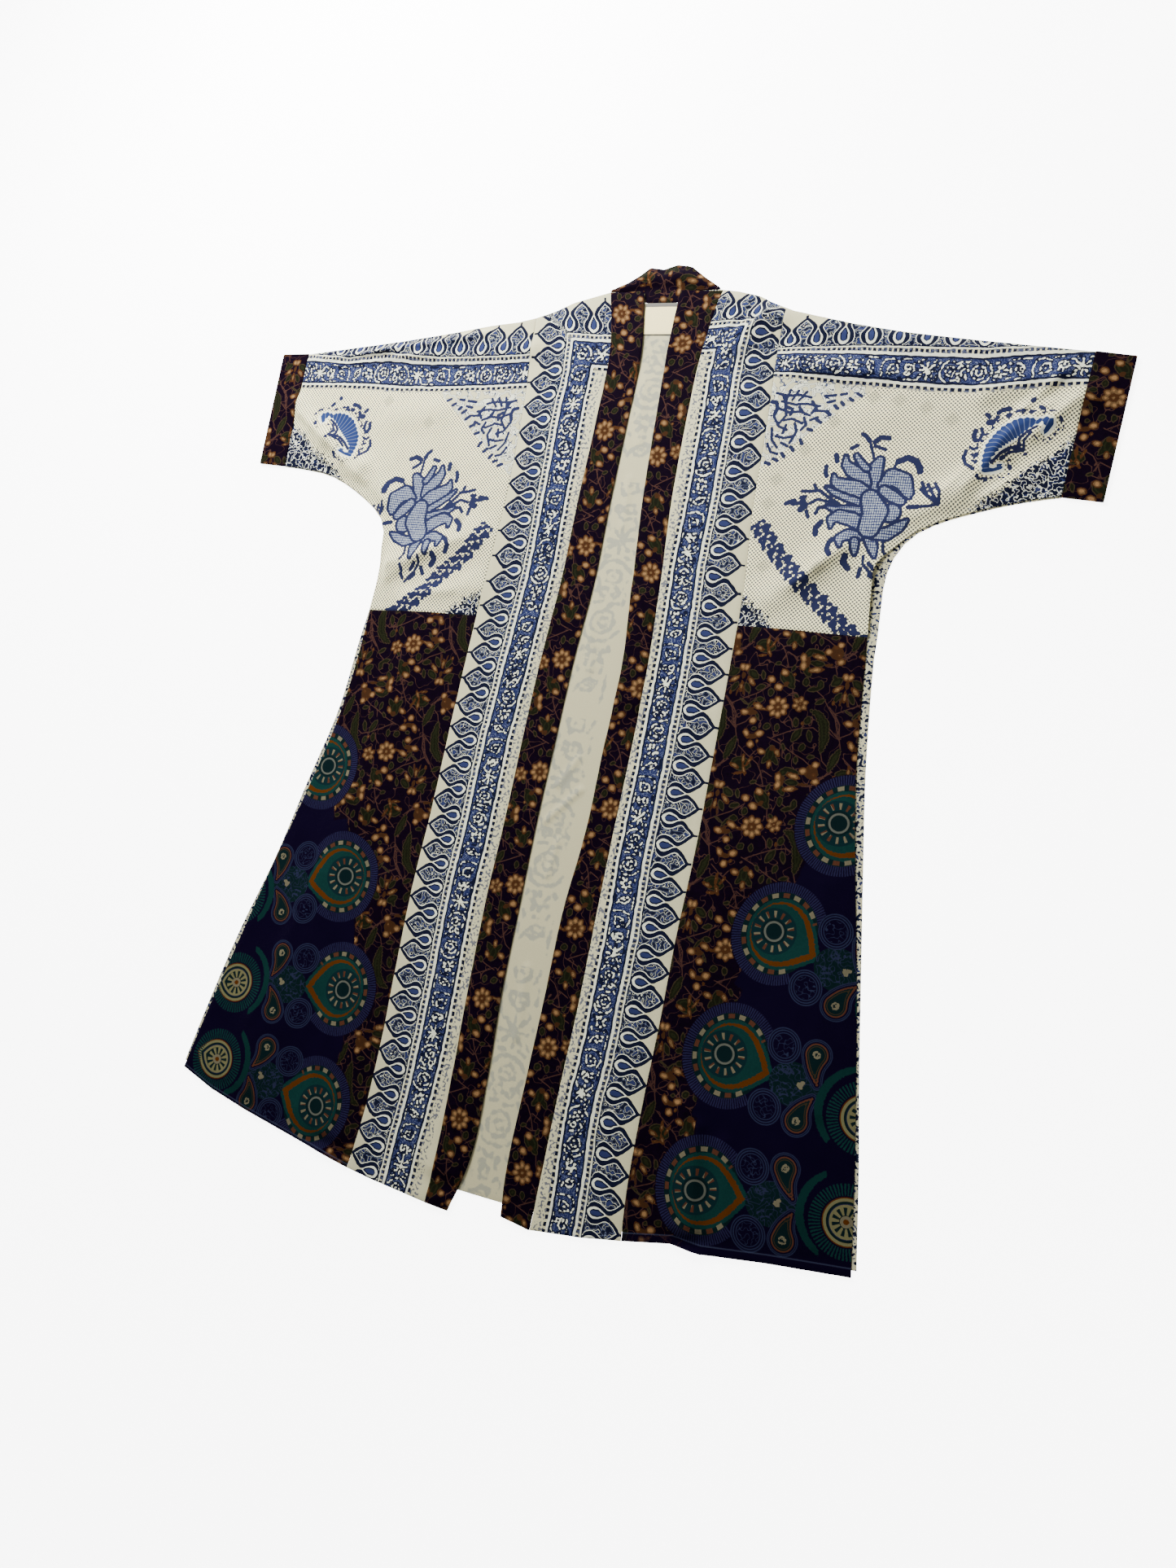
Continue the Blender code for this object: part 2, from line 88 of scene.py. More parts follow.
# Sides of the skirt, where the back shows a little beyond the front
SIDES_COLUMNS = ("y", "back_left", "front_left", "front_right", "back_right")
SIDES = (
    (170, -318, -316, 315, 330),
    (110, -319, -317, 322, 331),
    (70, -323, -318, 325, 334),
    (-30, -331, -326, 334, 344),
    (-130, -353, -347, 350, 358),
    (-230, -374, -372.5, 368, 372.5),
    (-330, -402, -396, 384, 387),
    (-430, -424, -419.5, 399, 403),
    (-530, -443, -440.5, 412, 417),
    (-590, -455, -452.5, 420, 425),
)

# Edges that run across the garment, each row one point
ACROSS_COLUMNS = ("x", "y")
# Fold along the shoulders and the tops of the sleeves
SHOULDER = (
    (-509, 464), (-447, 472), (-368, 482), (-290, 494), (-230, 505), (-186, 510), (-151, 520),
    (-118, 536), (-72, 549), (72, 550), (96, 547), (126, 540), (147, 529), (171, 520), (245, 503),
    (305, 492), (384, 482), (509, 468),
)

# Hems of the fronts and of the back
FRONT_HEM = (
    (-450, -506), (-388, -528), (-333, -541), (-267, -554), (-235, -560), (-179, -571), (-143, -576),
    (-71, -583), (-37, -585), (28, -574), (64, -579), (124, -571), (171, -562), (225, -550), (257, -552),
    (326, -542), (430, -530),
)
BACK_HEM = (
    (-450, -498), (-388, -521), (-333, -534), (-267, -547), (-179, -557), (-28, -560), (24, -560),
    (124, -559), (225, -545), (326, -535), (430, -523),
)

# Underarm curves from the waist seam to the cuff seam, as points x, y
UNDERARM_LEFT = (
    (-319, 106), (-318, 161), (-321, 187), (-325, 216), (-336, 235), (-358, 252), (-384, 268),
    (-424, 286), (-469, 294), (-504, 297),
)
UNDERARM_RIGHT = (
    (331, 128), (330, 151), (329, 171), (329, 201), (336, 226), (351, 248), (372, 262), (412, 278),
    (462, 293), (497, 300),
)
# On the right the back's side turns up past the edge, so the front's seam runs further in
FRONT_UNDERARM = {"left": UNDERARM_LEFT, "right": (
    (322, 128), (319, 150), (312, 185), (318, 214), (333, 232), (349, 249), (371, 263), (411, 279),
    (461, 294), (497, 301),
)}

# Waist seams. Columns: side, y at the border strip, y at the side seam
WAIST = (("left", 111.5, 106.0), ("right", 128.5, 128.0))

# Cuffs: corners of the sleeve seam and of the open end, underarm corner first
CUFF_COLUMNS = ("side", "seam_low", "seam_high", "end_low", "end_high")
CUFFS = (
    ("left", (-504.0, 297.0), (-509.0, 464.0), (-546.0, 299.5), (-550.5, 463.0)),
    ("right", (497.0, 300.0), (509.0, 468.0), (539.0, 296.5), (551.0, 462.5)),
)
CUFF = {row[0]: dict(zip(CUFF_COLUMNS, row)) for row in CUFFS}
CUFF_HEIGHT = 3.6

# Back neck band. Columns: x, y of its lower seam, y of its upper fold, how high it stands in between
NECK_BAND = (
    (-72, 549.4, 551.5, 0.0), (-50, 549.0, 562.0, 2.0), (-36, 548.4, 571.5, 3.5),
    (-24.5, 548.0, 580.5, 4.5), (-22.0, 533.4, 581.0, 4.5), (-14, 533.4, 580.0, 5.0),
    (-6, 533.4, 578.5, 3.5), (2, 533.4, 581.5, 4.5), (11, 533.4, 584.5, 6.5), (20.5, 533.4, 583.0, 5.5),
    (23.0, 548.0, 583.0, 5.0), (31, 548.4, 581.0, 4.5), (50, 549.4, 567.0, 2.5), (72, 550.4, 552.5, 0.0),
)
# Lower edge of the front bands' upper ends, where they meet the back neck band
NECK_JOIN_Y = 547.6
# The band lies flat below this line and stands up above it
NECK_CROWN_Y = 548.4
# How far its lower corners reach under the front bands, so that no floor shows between them
NECK_TUCK = 1.2
# The back's neckline below that band, from right to left
BACK_NECKLINE = ((23.4, 547.6), (20.9, 533.0), (-22.4, 533.0), (-24.9, 547.6))

# Label sewn into the back neck seam, partly under the front bands
LABEL_CENTRE_X = 1.5
LABEL_WIDTH = 43.0
LABEL_TOP_Y = 532.6
LABEL_LENGTH = 43.0

# Folds of the fronts, each a soft ridge. Columns: x0, y0, x1, y1, half width, height
FOLDS = (
    # Right shoulder and the top of the right strip
    (160, 538, 112, 476, 17, 7), (84, 532, 96, 470, 16, 3),
    # Right sleeve
    (188, 450, 285, 440, 17, 5), (480, 441, 404, 417, 15, 5), (505, 414, 432, 354, 18, 6),
    (432, 354, 384, 298, 18, 5.5), (464, 326, 430, 292, 15, 4), (318, 262, 392, 298, 17, 4),
    (205, 500, 420, 476, 15, 3),
    # Right yoke
    (276, 232, 208, 164, 21, 6), (312, 206, 330, 142, 15, 3.5), (226, 372, 300, 392, 26, 2.5),
    # Left sleeve
    (-492, 461, -380, 473, 13, 4), (-380, 473, -236, 493, 15, 5.5), (-344, 456, -166, 470, 15, 4.5),
    (-506, 388, -440, 338, 15, 5), (-440, 338, -376, 300, 15, 5), (-470, 350, -388, 284, 13, 3.5),
    (-376, 300, -330, 258, 15, 4),
    # Left yoke
    (-345, 372, -280, 382, 24, 3), (-306, 166, -194, 213, 23, 6), (-266, 124, -176, 150, 17, 3.5),
    # Left shoulder and the two strips
    (-128, 526, -92, 446, 18, 4), (-118, 380, -112, 60, 32, 2), (-112, 20, -122, -420, 32, 2.5),
    (118, 380, 122, 60, 32, 2), (122, 10, 112, -440, 32, 2.5),
    # Front bands, raised over the label and slack where the right edge swings out
    (-22, 560, -20, 470, 15, 1.8), (24, 560, 24, 470, 15, 1.8), (50, 150, 55, 30, 22, 4),
    (-44, -340, -47, -560, 20, 2.5),
    # Left skirt
    (-232, 90, -262, -120, 36, 4), (-266, -160, -334, -470, 40, 5),
    (-206, -240, -214, -560, 28, 3.5),
    # Right skirt
    (236, 104, 262, -160, 36, 4), (300, -70, 346, -470, 40, 5), (206, -90, 198, -360, 28, 3),
    (216, -410, 241, -560, 22, 6),
)

# Creases of the back where the opening shows it. Columns as for the folds
BACK_CREASES = (
    (-14, -128, 22, -86, 4, 1.4), (-8, -84, 12, -48, 4, 1.1), (2, -190, 6, -150, 4, 1),
    (-12, 140, 4, 60, 5, 1), (4, 300, 8, 240, 5, 0.9), (-4, 430, 8, 350, 5, 0.9),
    (0, -300, 4, -380, 5, 1),
)

# A soft key light from above the neck and a weak fill. Columns: name, place, size, power
LIGHTS = (
    ("softbox_key", (-0.6, 1.3, 0.95), 0.8, 109.0),
    ("softbox_fill", (1.9, 0.5, 1.6), 1.4, 4.0),
)
WORLD_STRENGTH = 0.37
FLOOR_GLOW = 7.0
FLOOR_WHITE = "#fbfbfb"
CAMERA_PLACE = (0.5418141, -0.2515, 1.2707636)
CAMERA_TURN = (11.5484, 20.1260, 11.9660)
CAMERA_LENS = 27.1028
SENSOR_WIDTH = 36.0
# Size of the floor in metres, and how far it lies below the cloth
FLOOR_SIZE = 9.0
FLOOR_DROP = 0.0004

OUTWARD = {"left": -1.0, "right": 1.0}
OUTLINE_STEP = 24.0
UNDERARM_POINTS = 16


def column(table, columns, name):
    """One named column of a table, as an array."""
    return np.array([row[columns.index(name)] for row in table], dtype=float)


def smooth(stations, values, at):
    """A smooth curve through the values, read at new stations."""
    order = np.argsort(stations)
    x = stations[order]
    y = values[order]
    slope = np.gradient(y, x)
    at = np.asarray(at, dtype=float)
    i = np.clip(np.searchsorted(x, at) - 1, 0, len(x) - 2)
    step = x[i + 1] - x[i]
    t = (at - x[i]) / step
    start = (1 + 2 * t) * (1 - t) ** 2 * y[i] + t * (1 - t) ** 2 * step * slope[i]
    finish = t ** 2 * (3 - 2 * t) * y[i + 1] - t ** 2 * (1 - t) * step * slope[i + 1]
    return start + finish


def lengthwise(name, y):
    """One of the lines from the shoulder to the hem, as x at y."""
    station = column(LENGTHWISE, LENGTHWISE_COLUMNS, "y")
    return smooth(station, column(LENGTHWISE, LENGTHWISE_COLUMNS, name), y)


def side(name, y):
    """One side edge of the skirt, as x at y."""
    return smooth(column(SIDES, SIDES_COLUMNS, "y"), column(SIDES, SIDES_COLUMNS, name), y)


def edge(table, x):
    """Height in the plan of an edge that runs across the garment."""
    return np.interp(x, column(table, ACROSS_COLUMNS, "x"), column(table, ACROSS_COLUMNS, "y"))


def path(points, count):
    """Evenly spaced points on a smooth path through the given points."""
    points = np.array(points, dtype=float)
    length = np.concatenate(([0.0], np.cumsum(np.hypot(*np.diff(points, axis=0).T))))
    at = np.linspace(0.0, length[-1], count)
    return np.column_stack([smooth(length, points[:, k], at) for k in range(2)])


def crossing(line, table, inset):
    """Where a lengthwise line meets a crosswise edge that is moved by an inset."""
    y = 0.0
    for _ in range(12):
        x = float(line(y))
        y = float(edge(table, x)) + inset
    return np.array([x, y])


def stations(start, stop):
    """Even stations between two values, about the outline's step apart."""
    return np.linspace(start, stop, max(2, int(round(abs(stop - start) / OUTLINE_STEP))) + 1)


def side_edge(name, low_y, high_y):
    """Points up one side of the skirt, without the corners at its ends."""
    y = stations(low_y, high_y)[1:-1]
    return np.column_stack([side(name, y), y])


def across(table, start_x, stop_x):
    """Points along a crosswise edge, its ends among them."""
    x = stations(start_x, stop_x)
    return np.column_stack([x, edge(table, x)])


def outline_points(with_cuffs):
    """Closed outline in the plan, anticlockwise: of the back, or of the garment with its cuffs."""
    hem_left = crossing(lambda y: side("back_left", y), BACK_HEM, 0.0)
    hem_right = crossing(lambda y: side("back_right", y), BACK_HEM, 0.0)
    neck_left = NECK_BAND[0][0]
    neck_right = NECK_BAND[-1][0]
    if with_cuffs:
        right_end = [CUFF["right"]["end_low"], CUFF["right"]["end_high"]]
        left_end = [CUFF["left"]["end_high"], CUFF["left"]["end_low"]]
        neck = [(row[0], row[2]) for row in reversed(NECK_BAND)][1:-1]
    else:
        right_end = []
        left_end = []
        neck = BACK_NECKLINE
    return np.array([
        *across(BACK_HEM, hem_left[0], hem_right[0]),
        *side_edge("back_right", hem_right[1], UNDERARM_RIGHT[0][1]),
        *path(UNDERARM_RIGHT, UNDERARM_POINTS),
        *right_end,
        *across(SHOULDER, SHOULDER[-1][0], neck_right),
        *neck,
        *across(SHOULDER, neck_left, SHOULDER[0][0]),
        *left_end,
        *path(UNDERARM_LEFT, UNDERARM_POINTS)[::-1],
        *side_edge("back_left", UNDERARM_LEFT[0][1], hem_left[1]),
    ])


GARMENT_OUTLINE = outline_points(with_cuffs=True)


def to_segment(x, y, x0, y0, x1, y1):
    """Distance in the plan from each point to a straight run between two points."""
    dx = x1 - x0
    dy = y1 - y0
    t = np.clip(((x - x0) * dx + (y - y0) * dy) / max(dx * dx + dy * dy, 1e-9), 0.0, 1.0)
    return np.hypot(x - x0 - t * dx, y - y0 - t * dy)


def to_loop(outline, x, y):
    """Distance in the plan from each point to a closed outline."""
    nearest = np.full(np.shape(x), np.inf)
    for start, end in zip(outline, np.roll(outline, -1, axis=0)):
        nearest = np.minimum(nearest, to_segment(x, y, *start, *end))
    return nearest


def inside(outline, x, y):
    """Whether each point lies inside a closed outline."""
    within = np.zeros(np.shape(x), dtype=bool)
    for (x0, y0), (x1, y1) in zip(outline, np.roll(outline, -1, axis=0)):
        spans = (y0 > y) != (y1 > y)
        within ^= spans & (x < x0 + (y - y0) / ((y1 - y0) if y1 != y0 else 1e-9) * (x1 - x0))
    return within


def patch(low, high, inner, outer, shares=None):
    """Grid of plan points between four edges. Low and high run across, with points at the given shares."""
    s = (np.linspace(0.0, 1.0, len(low)) if shares is None else shares)[:, None, None]
    v = np.linspace(0.0, 1.0, len(inner))[None, :, None]
    low = low[:, None, :]
    high = high[:, None, :]
    between_sides = (1 - s) * inner[None, :, :] + s * outer[None, :, :]
    between_ends = (1 - v) * low + v * high
    corners = (1 - s) * ((1 - v) * low[:1] + v * high[:1]) + s * ((1 - v) * low[-1:] + v * high[-1:])
    return between_sides + between_ends - corners


def line_points(line, low_y, high_y, rows):
    """Points up a lengthwise line."""
    y = np.linspace(low_y, high_y, rows + 1)
    return np.column_stack([line(y), y])


def edge_points(start, end, steps, table, inset):
    """Points along a crosswise edge between two corners."""
    x = np.linspace(start[0], end[0], steps + 1)
    points = np.column_stack([x, edge(table, x) + inset])
    points[0] = start
    points[-1] = end
    return points


# Print colours as sRGB hex
CREAM = "#b8b38f"
WHITE = "#cdcfb9"
NAVY = "#04081f"
BLUE = "#1a2146"
PALE_BLUE = "#5c6479"
SLATE = "#3d435a"
BUD_BLUE = "#232a4e"
DARK_GROUND = "#030005"
DARK_GROUND_LIT = "#0a0010"
VINE = "#34211c"
LEAF_RIM = "#292216"
OLIVE = "#101108"
OLIVE_LIT = "#181a0d"
BROWN = "#2f1c0e"
RUST = "#37200f"
TAN = "#543f28"
TAN_LIT = "#775838"
MEDALLION_GROUND = "#060115"
RING_BLUE = "#1a1931"
LINE_BLUE = "#1b1f33"
TEAL = "#072321"
TEAL_LIT = "#0b2b28"
DEEP_TEAL = "#051416"
SEA_BLUE = "#071c1f"
ORANGE = "#442306"
BRICK = "#402519"
BEAD_CREAM = "#585341"
RING_CREAM = "#494b43"
PALE_RING = "#5a573b"
DOT_GREY = "#515149"
INK_BLUE = "#1a1e3b"
COMB_BLUE = "#1c2a53"
LABEL_WHITE = "#eada9d"
# Grey of the label's seam, also used for the painted shadow line at its folded lower edge
SEAM_AND_SHADOW_GREY = "#595750"
# Cream of the back, darker than the fronts' cream: painted shade of the narrow opening between the fronts,
# where it shows
SHADED_BACK_CREAM = "#afa986"
BACK_PRINT = "#6e7574"
YOKE_CREAM = "#fbf4c1"
PETAL_PALE = "#8d959c"
HATCH_BLUE = "#272d51"
# A medallion's outer rim: its middle, how much it is squeezed across, and its radius
RIM_MIDDLE = (6.0, 1.0)
RIM_SQUEEZE = 0.9
RIM_RADIUS = 57.0
# Marks round a medallion and round the next one out: spikes, beads, ticks, seeds and barbs. How many beads,
# ticks and seeds, how fast spikes and barbs follow on, and the middle and half width of each ring
BEADS = 20
TICKS = 14
SEEDS = 11
SPIKES = 116.0
BARBS = 60.0
SPIKE_RING = (51.0, 5.6)
BEAD_RING = (42.0, 2.5)
TICK_RING = (18.6, 3.6)
SEED_RING = (10.6, 4.0)
BARB_RING = (31.5, 6.0)
# Edge of the drop, and how far out the next medallion lies
DROP_EDGE = 34.5
NEXT_MEDALLION = (157.0, 0.0, 0.0)
# Weave drawn at 1.2 mm a thread pair, about three times as coarse as the real one, so that it shows
WEAVE_TURN = WHOLE_TURN / 0.0012

# Dots of the yoke's ground every 3.2 mm along both diagonals, and its hatching every 2.6 mm. The lines and
# dots of the prints are drawn a little bolder than the real ones, so that they hold in the picture
DOT_TURN = math.pi * math.sqrt(2.0) / 0.0032
HATCH_TURN = WHOLE_TURN / 0.0026

# How many times coarser the hidden under faces are, and the spacing of the dense upper ones
COARSE = 6
STRIP_SPACING = 1.5
STRIP_LENGTH = 1110.0
BAND_LENGTH = 1120.0
BAND_SPACING = 1.45
SKIRT_SPACING = 1.45
YOKE_SPACING = 1.5
# Spacing of the back's mesh where the opening shows it, along its edge, and under the fronts
OPENING_SPACING = 2.4
EDGE_SPACING = 6.0
HIDDEN_SPACING = 14.0
# Reach of the two grids, from x, to x, from y, to y, and the x between which the fine one stands alone
OPENING_REACH = (-40.0, 56.0, -556.0, 530.0)
HIDDEN_REACH = (-540.0, 541.0, -550.0, 560.0)
OPENING_SIDES = (-44.0, 60.0)
# Rings along a cuff, and steps along its flat sides and round its folded ones
CUFF_SECTIONS = 26
CUFF_STEPS = 102
CUFF_END_STEPS = 8
# Points along a side of the label, and the band behind the neck: its spacing along and its points across
LABEL_POINTS = 37
NECK_BAND_SPACING = 1.4
NECK_BAND_POINTS = 25
# How far the upper face drops at a rim: a share of a front's thickness, and millimetres on back and cuffs
RIM_DROP = 0.3
# Columns across a border strip: dense over the drawn motifs of its blue band, wider elsewhere
STRIP_SHARES = np.concatenate([
    np.linspace(0.0, 14.0, 6)[:-1], np.linspace(14.0, 48.0, 24)[:-1], np.linspace(48.0, 100.0, 20)]) / 100.0
BAND_SHARES = np.linspace(0.0, 1.0, 37)
# How far a piece dips towards its seams, and how near them
SEAM_DIP = 0.3
SEAM_DIP_WIDTH = 2.6


def steps_for(length, spacing):
    """A number of steps that the coarse under face divides."""
    return int(math.ceil(length / spacing / COARSE)) * COARSE


def lengthwise_plan(side_name, inner_name, outer_name, inner_gap, outer_gap, top, shares, rows):
    """Plan grid of a strip or band, from the hem to its upper end, with columns at the given shares."""
    outward = OUTWARD[side_name]

    def inner(y):
        return lengthwise(inner_name, y) + outward * inner_gap

    def outer(y):
        return lengthwise(outer_name, y) - outward * outer_gap

    low_inner = crossing(inner, FRONT_HEM, 0.0)
    low_outer = crossing(outer, FRONT_HEM, 0.0)
    low_x = low_inner[0] + shares * (low_outer[0] - low_inner[0])
    low = np.column_stack([low_x, edge(FRONT_HEM, low_x)])
    if top is None:
        high_inner = crossing(inner, SHOULDER, -FRONT_INSET)
        high_outer = crossing(outer, SHOULDER, -FRONT_INSET)
        high_x = high_inner[0] + shares * (high_outer[0] - high_inner[0])
        high = np.column_stack([high_x, edge(SHOULDER, high_x) - FRONT_INSET])
    else:
        high_inner = np.array([float(inner(top)), top])
        high_outer = np.array([float(outer(top)), top])
        high = high_inner + shares[:, None] * (high_outer - high_inner)
    inner_line = line_points(inner, low_inner[1], high_inner[1], rows)
    outer_line = line_points(outer, low_outer[1], high_outer[1], rows)
    return patch(low, high, inner_line, outer_line, shares)


def skirt_plan(side_name, waist_inner, waist_outer):
    """Plan grid of a front skirt panel, from its hem to the waist seam."""
    outward = OUTWARD[side_name]
    half = SEAM_GAP / 2

    def inner(y):
        return lengthwise("strip_" + side_name, y) + outward * half

    def outer(y):
        return side("front_" + side_name, y)

    low_inner = crossing(inner, FRONT_HEM, 0.0)
    low_outer = crossing(outer, FRONT_HEM, 0.0)
    high_inner = np.array([float(inner(waist_inner)), waist_inner - half])
    high_outer = np.array([float(outer(waist_outer)), waist_outer - half])
    steps = steps_for(abs(low_outer[0] + high_outer[0] - low_inner[0] - high_inner[0]) / 2, SKIRT_SPACING)
    rows = steps_for(waist_inner - low_inner[1], SKIRT_SPACING)
    low = edge_points(low_inner, low_outer, steps, FRONT_HEM, 0.0)
    high = np.linspace(high_inner, high_outer, steps + 1)
    inner_line = line_points(inner, low_inner[1], high_inner[1], rows)
    outer_line = line_points(outer, low_outer[1], high_outer[1], rows)
    return patch(low, high, inner_line, outer_line)


def yoke_plan(side_name, waist_inner):
    """Plan grid of a front yoke cut in one with its sleeve front."""
    outward = OUTWARD[side_name]
    half = SEAM_GAP / 2

    def inner(y):
        return lengthwise("strip_" + side_name, y) + outward * half

    underarm = np.array(FRONT_UNDERARM[side_name], dtype=float)
    underarm[:, 1] += FRONT_INSET
    underarm[:2, 0] -= outward * FRONT_INSET
    underarm[0, 1] = underarm[0, 1] - FRONT_INSET + half
    underarm[-1, 0] -= outward * half
    low_inner = np.array([float(inner(waist_inner)), waist_inner + half])
    waist_length = abs(underarm[0, 0] - low_inner[0])
    underarm_length = np.hypot(*np.diff(underarm, axis=0).T).sum()
    total = steps_for(waist_length + underarm_length, YOKE_SPACING)
    waist_steps = int(round(total * waist_length / (waist_length + underarm_length)))
    waist = np.linspace(low_inner, underarm[0], waist_steps + 1)
    low = np.vstack([waist[:-1], path(underarm, total - waist_steps + 1)])
    high_inner = crossing(inner, SHOULDER, -FRONT_INSET)
    seam_high = CUFF[side_name]["seam_high"]
    high_outer = np.array([seam_high[0] - outward * half, seam_high[1] - FRONT_INSET])
    high = edge_points(high_inner, high_outer, len(low) - 1, SHOULDER, -FRONT_INSET)
    rows = steps_for(high_inner[1] - low_inner[1], YOKE_SPACING)
    inner_line = line_points(inner, low_inner[1], high_inner[1], rows)
    outer_line = np.linspace(low[-1], high[-1], rows + 1)
    return patch(low, high, inner_line, outer_line)


# Small creases that only the looks have. Columns as for the folds
CREASES = (
    (-486, 443, -300, 462, 4.5, 1.76), (-420, 462, -250, 484, 4, 1.92),
    (-360, 474, -215, 497, 3.5, 1.6), (-470, 455, -380, 466, 3.5, 1.44),
    (-495, 372, -425, 322, 5, 1.92), (-460, 318, -402, 286, 4.5, 1.6),
    (-352, 300, -322, 236, 5, 1.44), (-300, 150, -250, 190, 7, 1.44),
    (-255, 190, -205, 208, 6, 1.28), (212, 444, 330, 436, 5, 1.6), (300, 486, 452, 466, 4, 1.44),
    (470, 404, 420, 352, 6, 1.92), (400, 330, 372, 296, 5, 1.6), (446, 318, 410, 288, 4.5, 1.44),
    (330, 190, 324, 140, 5, 1.6), (262, 214, 226, 178, 6, 1.44), (150, 532, 122, 494, 4, 2.56),
    (136, 536, 104, 486, 4, 2.24), (118, 540, 92, 492, 4, 1.92), (-112, 538, -96, 500, 5, 1.44),
    (-250, 40, -284, -140, 12, 1.28), (-300, -240, -352, -430, 12, 1.44),
    (-230, -330, -252, -520, 10, 1.28), (250, 60, 282, -120, 12, 1.28),
    (322, -150, 356, -380, 12, 1.44), (222, -440, 236, -556, 8, 1.28),
    (482, 442, 446, 398, 7, 3), (446, 398, 424, 348, 7, 2.6), (424, 348, 398, 306, 6.5, 2.2),
    (496, 408, 458, 366, 6, 2.2), (190, 446, 262, 436, 6, 2.2), (276, 226, 232, 182, 7, 2.4),
    (318, 236, 326, 180, 5, 1.8), (-452, 356, -408, 306, 6, 2.4), (-408, 306, -366, 280, 5.5, 1.8),
    (-300, 168, -236, 190, 8, 2.2), (-266, 130, -204, 140, 7, 1.6), (232, -426, 246, -552, 8, 2.4),
    (262, -436, 286, -548, 9, 1.6),
)

# Slight waves of cloth that has been folded away. Columns: wavelength, direction in degrees, phase, height
RIPPLES = (
    (61, 18, 0.4, 0.11), (47, 112, 2.1, 0.10), (34, 64, 4, 0.08), (26, 151, 1.2, 0.06),
    (83, 85, 5.1, 0.12),
)


def ridges(rows, x, y):
    """Sum of soft ridges at the plan points."""
    lift = np.zeros(np.shape(x))
    for x0, y0, x1, y1, half_width, height in rows:
        lift = lift + height * np.exp(-(to_segment(x, y, x0, y0, x1, y1) / half_width) ** 2)
    return lift


# Grid on which the distance to the garment's outline is worked out once
OUTLINE_CELL = 4.0
OUTLINE_X = np.arange(-560.0, 561.0, OUTLINE_CELL)
OUTLINE_Y = np.arange(-596.0, 601.0, OUTLINE_CELL)
OUTLINE_GRID = to_loop(GARMENT_OUTLINE, *np.meshgrid(OUTLINE_X, OUTLINE_Y, indexing="ij"))


def read_outline_grid(x, y):
    """Distance to the garment's outline, read between the nodes of a coarse grid."""
    gx = np.clip((x - OUTLINE_X[0]) / OUTLINE_CELL, 0.0, len(OUTLINE_X) - 1.001)
    gy = np.clip((y - OUTLINE_Y[0]) / OUTLINE_CELL, 0.0, len(OUTLINE_Y) - 1.001)
    i = gx.astype(int)
    j = gy.astype(int)
    a = gx - i
    b = gy - j
    low = (1 - a) * OUTLINE_GRID[i, j] + a * OUTLINE_GRID[i + 1, j]
    high = (1 - a) * OUTLINE_GRID[i, j + 1] + a * OUTLINE_GRID[i + 1, j + 1]
    return (1 - b) * low + b * high


def lay(x, y):
    """How far the fronts stand above lying flat, with their small creases."""
    lift = LOFT + ridges(FOLDS, x, y) + ridges(CREASES, x, y)
    for wavelength, direction, phase, height in RIPPLES:
        angle = math.radians(direction)
        along = x * math.cos(angle) + y * math.sin(angle)
        lift = lift + height * np.sin(WHOLE_TURN * along / wavelength + phase)
    rise = np.clip(read_outline_grid(x, y) / EDGE_WIDTH, 0.0, 1.0)
    return lift * rise * rise * (3.0 - 2.0 * rise)


def border_distance(plan):
    """Distance of each grid point from the piece's own edge, along the grid."""
    nu, nv = plan.shape[:2]
    step_u = np.hypot(*np.moveaxis(np.diff(plan, axis=0), 2, 0))
    step_v = np.hypot(*np.moveaxis(np.diff(plan, axis=1), 2, 0))
    from_inner = np.concatenate([np.zeros((1, nv)), np.cumsum(step_u, axis=0)])
    from_low = np.concatenate([np.zeros((nu, 1)), np.cumsum(step_v, axis=1)], axis=1)
    across = np.minimum(from_inner, from_inner[-1:] - from_inner)
    along = np.minimum(from_low, from_low[:, -1:] - from_low)
    return np.minimum(across, along)


def rim_faces(upper, lower):
    """Triangles between a dense upper edge and a coarse lower one, walked with the cloth on the left."""
    faces = []
    for n in range(len(lower) - 1):
        start = n * COARSE
        middle = start + COARSE // 2
        for i in range(start, middle):
            faces.append((lower[n], upper[i + 1], upper[i]))
        faces.append((lower[n], lower[n + 1], upper[middle]))
        for i in range(middle, start + COARSE):
            faces.append((lower[n + 1], upper[i + 1], upper[i]))
    return faces


def grid_quads(index):
    """Quads of a grid of vertex numbers."""
    corners = [index[:-1, :-1], index[1:, :-1], index[1:, 1:], index[:-1, 1:]]
    return np.stack(corners, axis=-1).reshape(-1, 4)


def deselect():
    """Leaves nothing selected, the solids included."""
    for other in bpy.context.selected_objects:
        other.select_set(False)


def make_object(name, points, faces, fields):
    """A mesh object at the origin from points in millimetres, with its named fields."""
    mesh = bpy.data.meshes.new(name)
    mesh.from_pydata(points * MM, [], faces)
    for field, values in fields.items():
        kind, part = ("FLOAT_VECTOR", "vector") if values.ndim == 2 else ("FLOAT", "value")
        data = mesh.attributes.new(field, kind, "POINT").data
        data.foreach_set(part, np.ascontiguousarray(values, dtype=np.float32).ravel())
    mesh.update()
    mesh.validate()
    obj = bpy.data.objects.new(name, mesh)
    bpy.context.scene.collection.objects.link(obj)
    deselect()
    obj.select_set(True)
    bpy.context.view_layer.objects.active = obj
    bpy.ops.object.shade_smooth_by_angle(angle=math.radians(55))
    obj.select_set(False)
    return obj


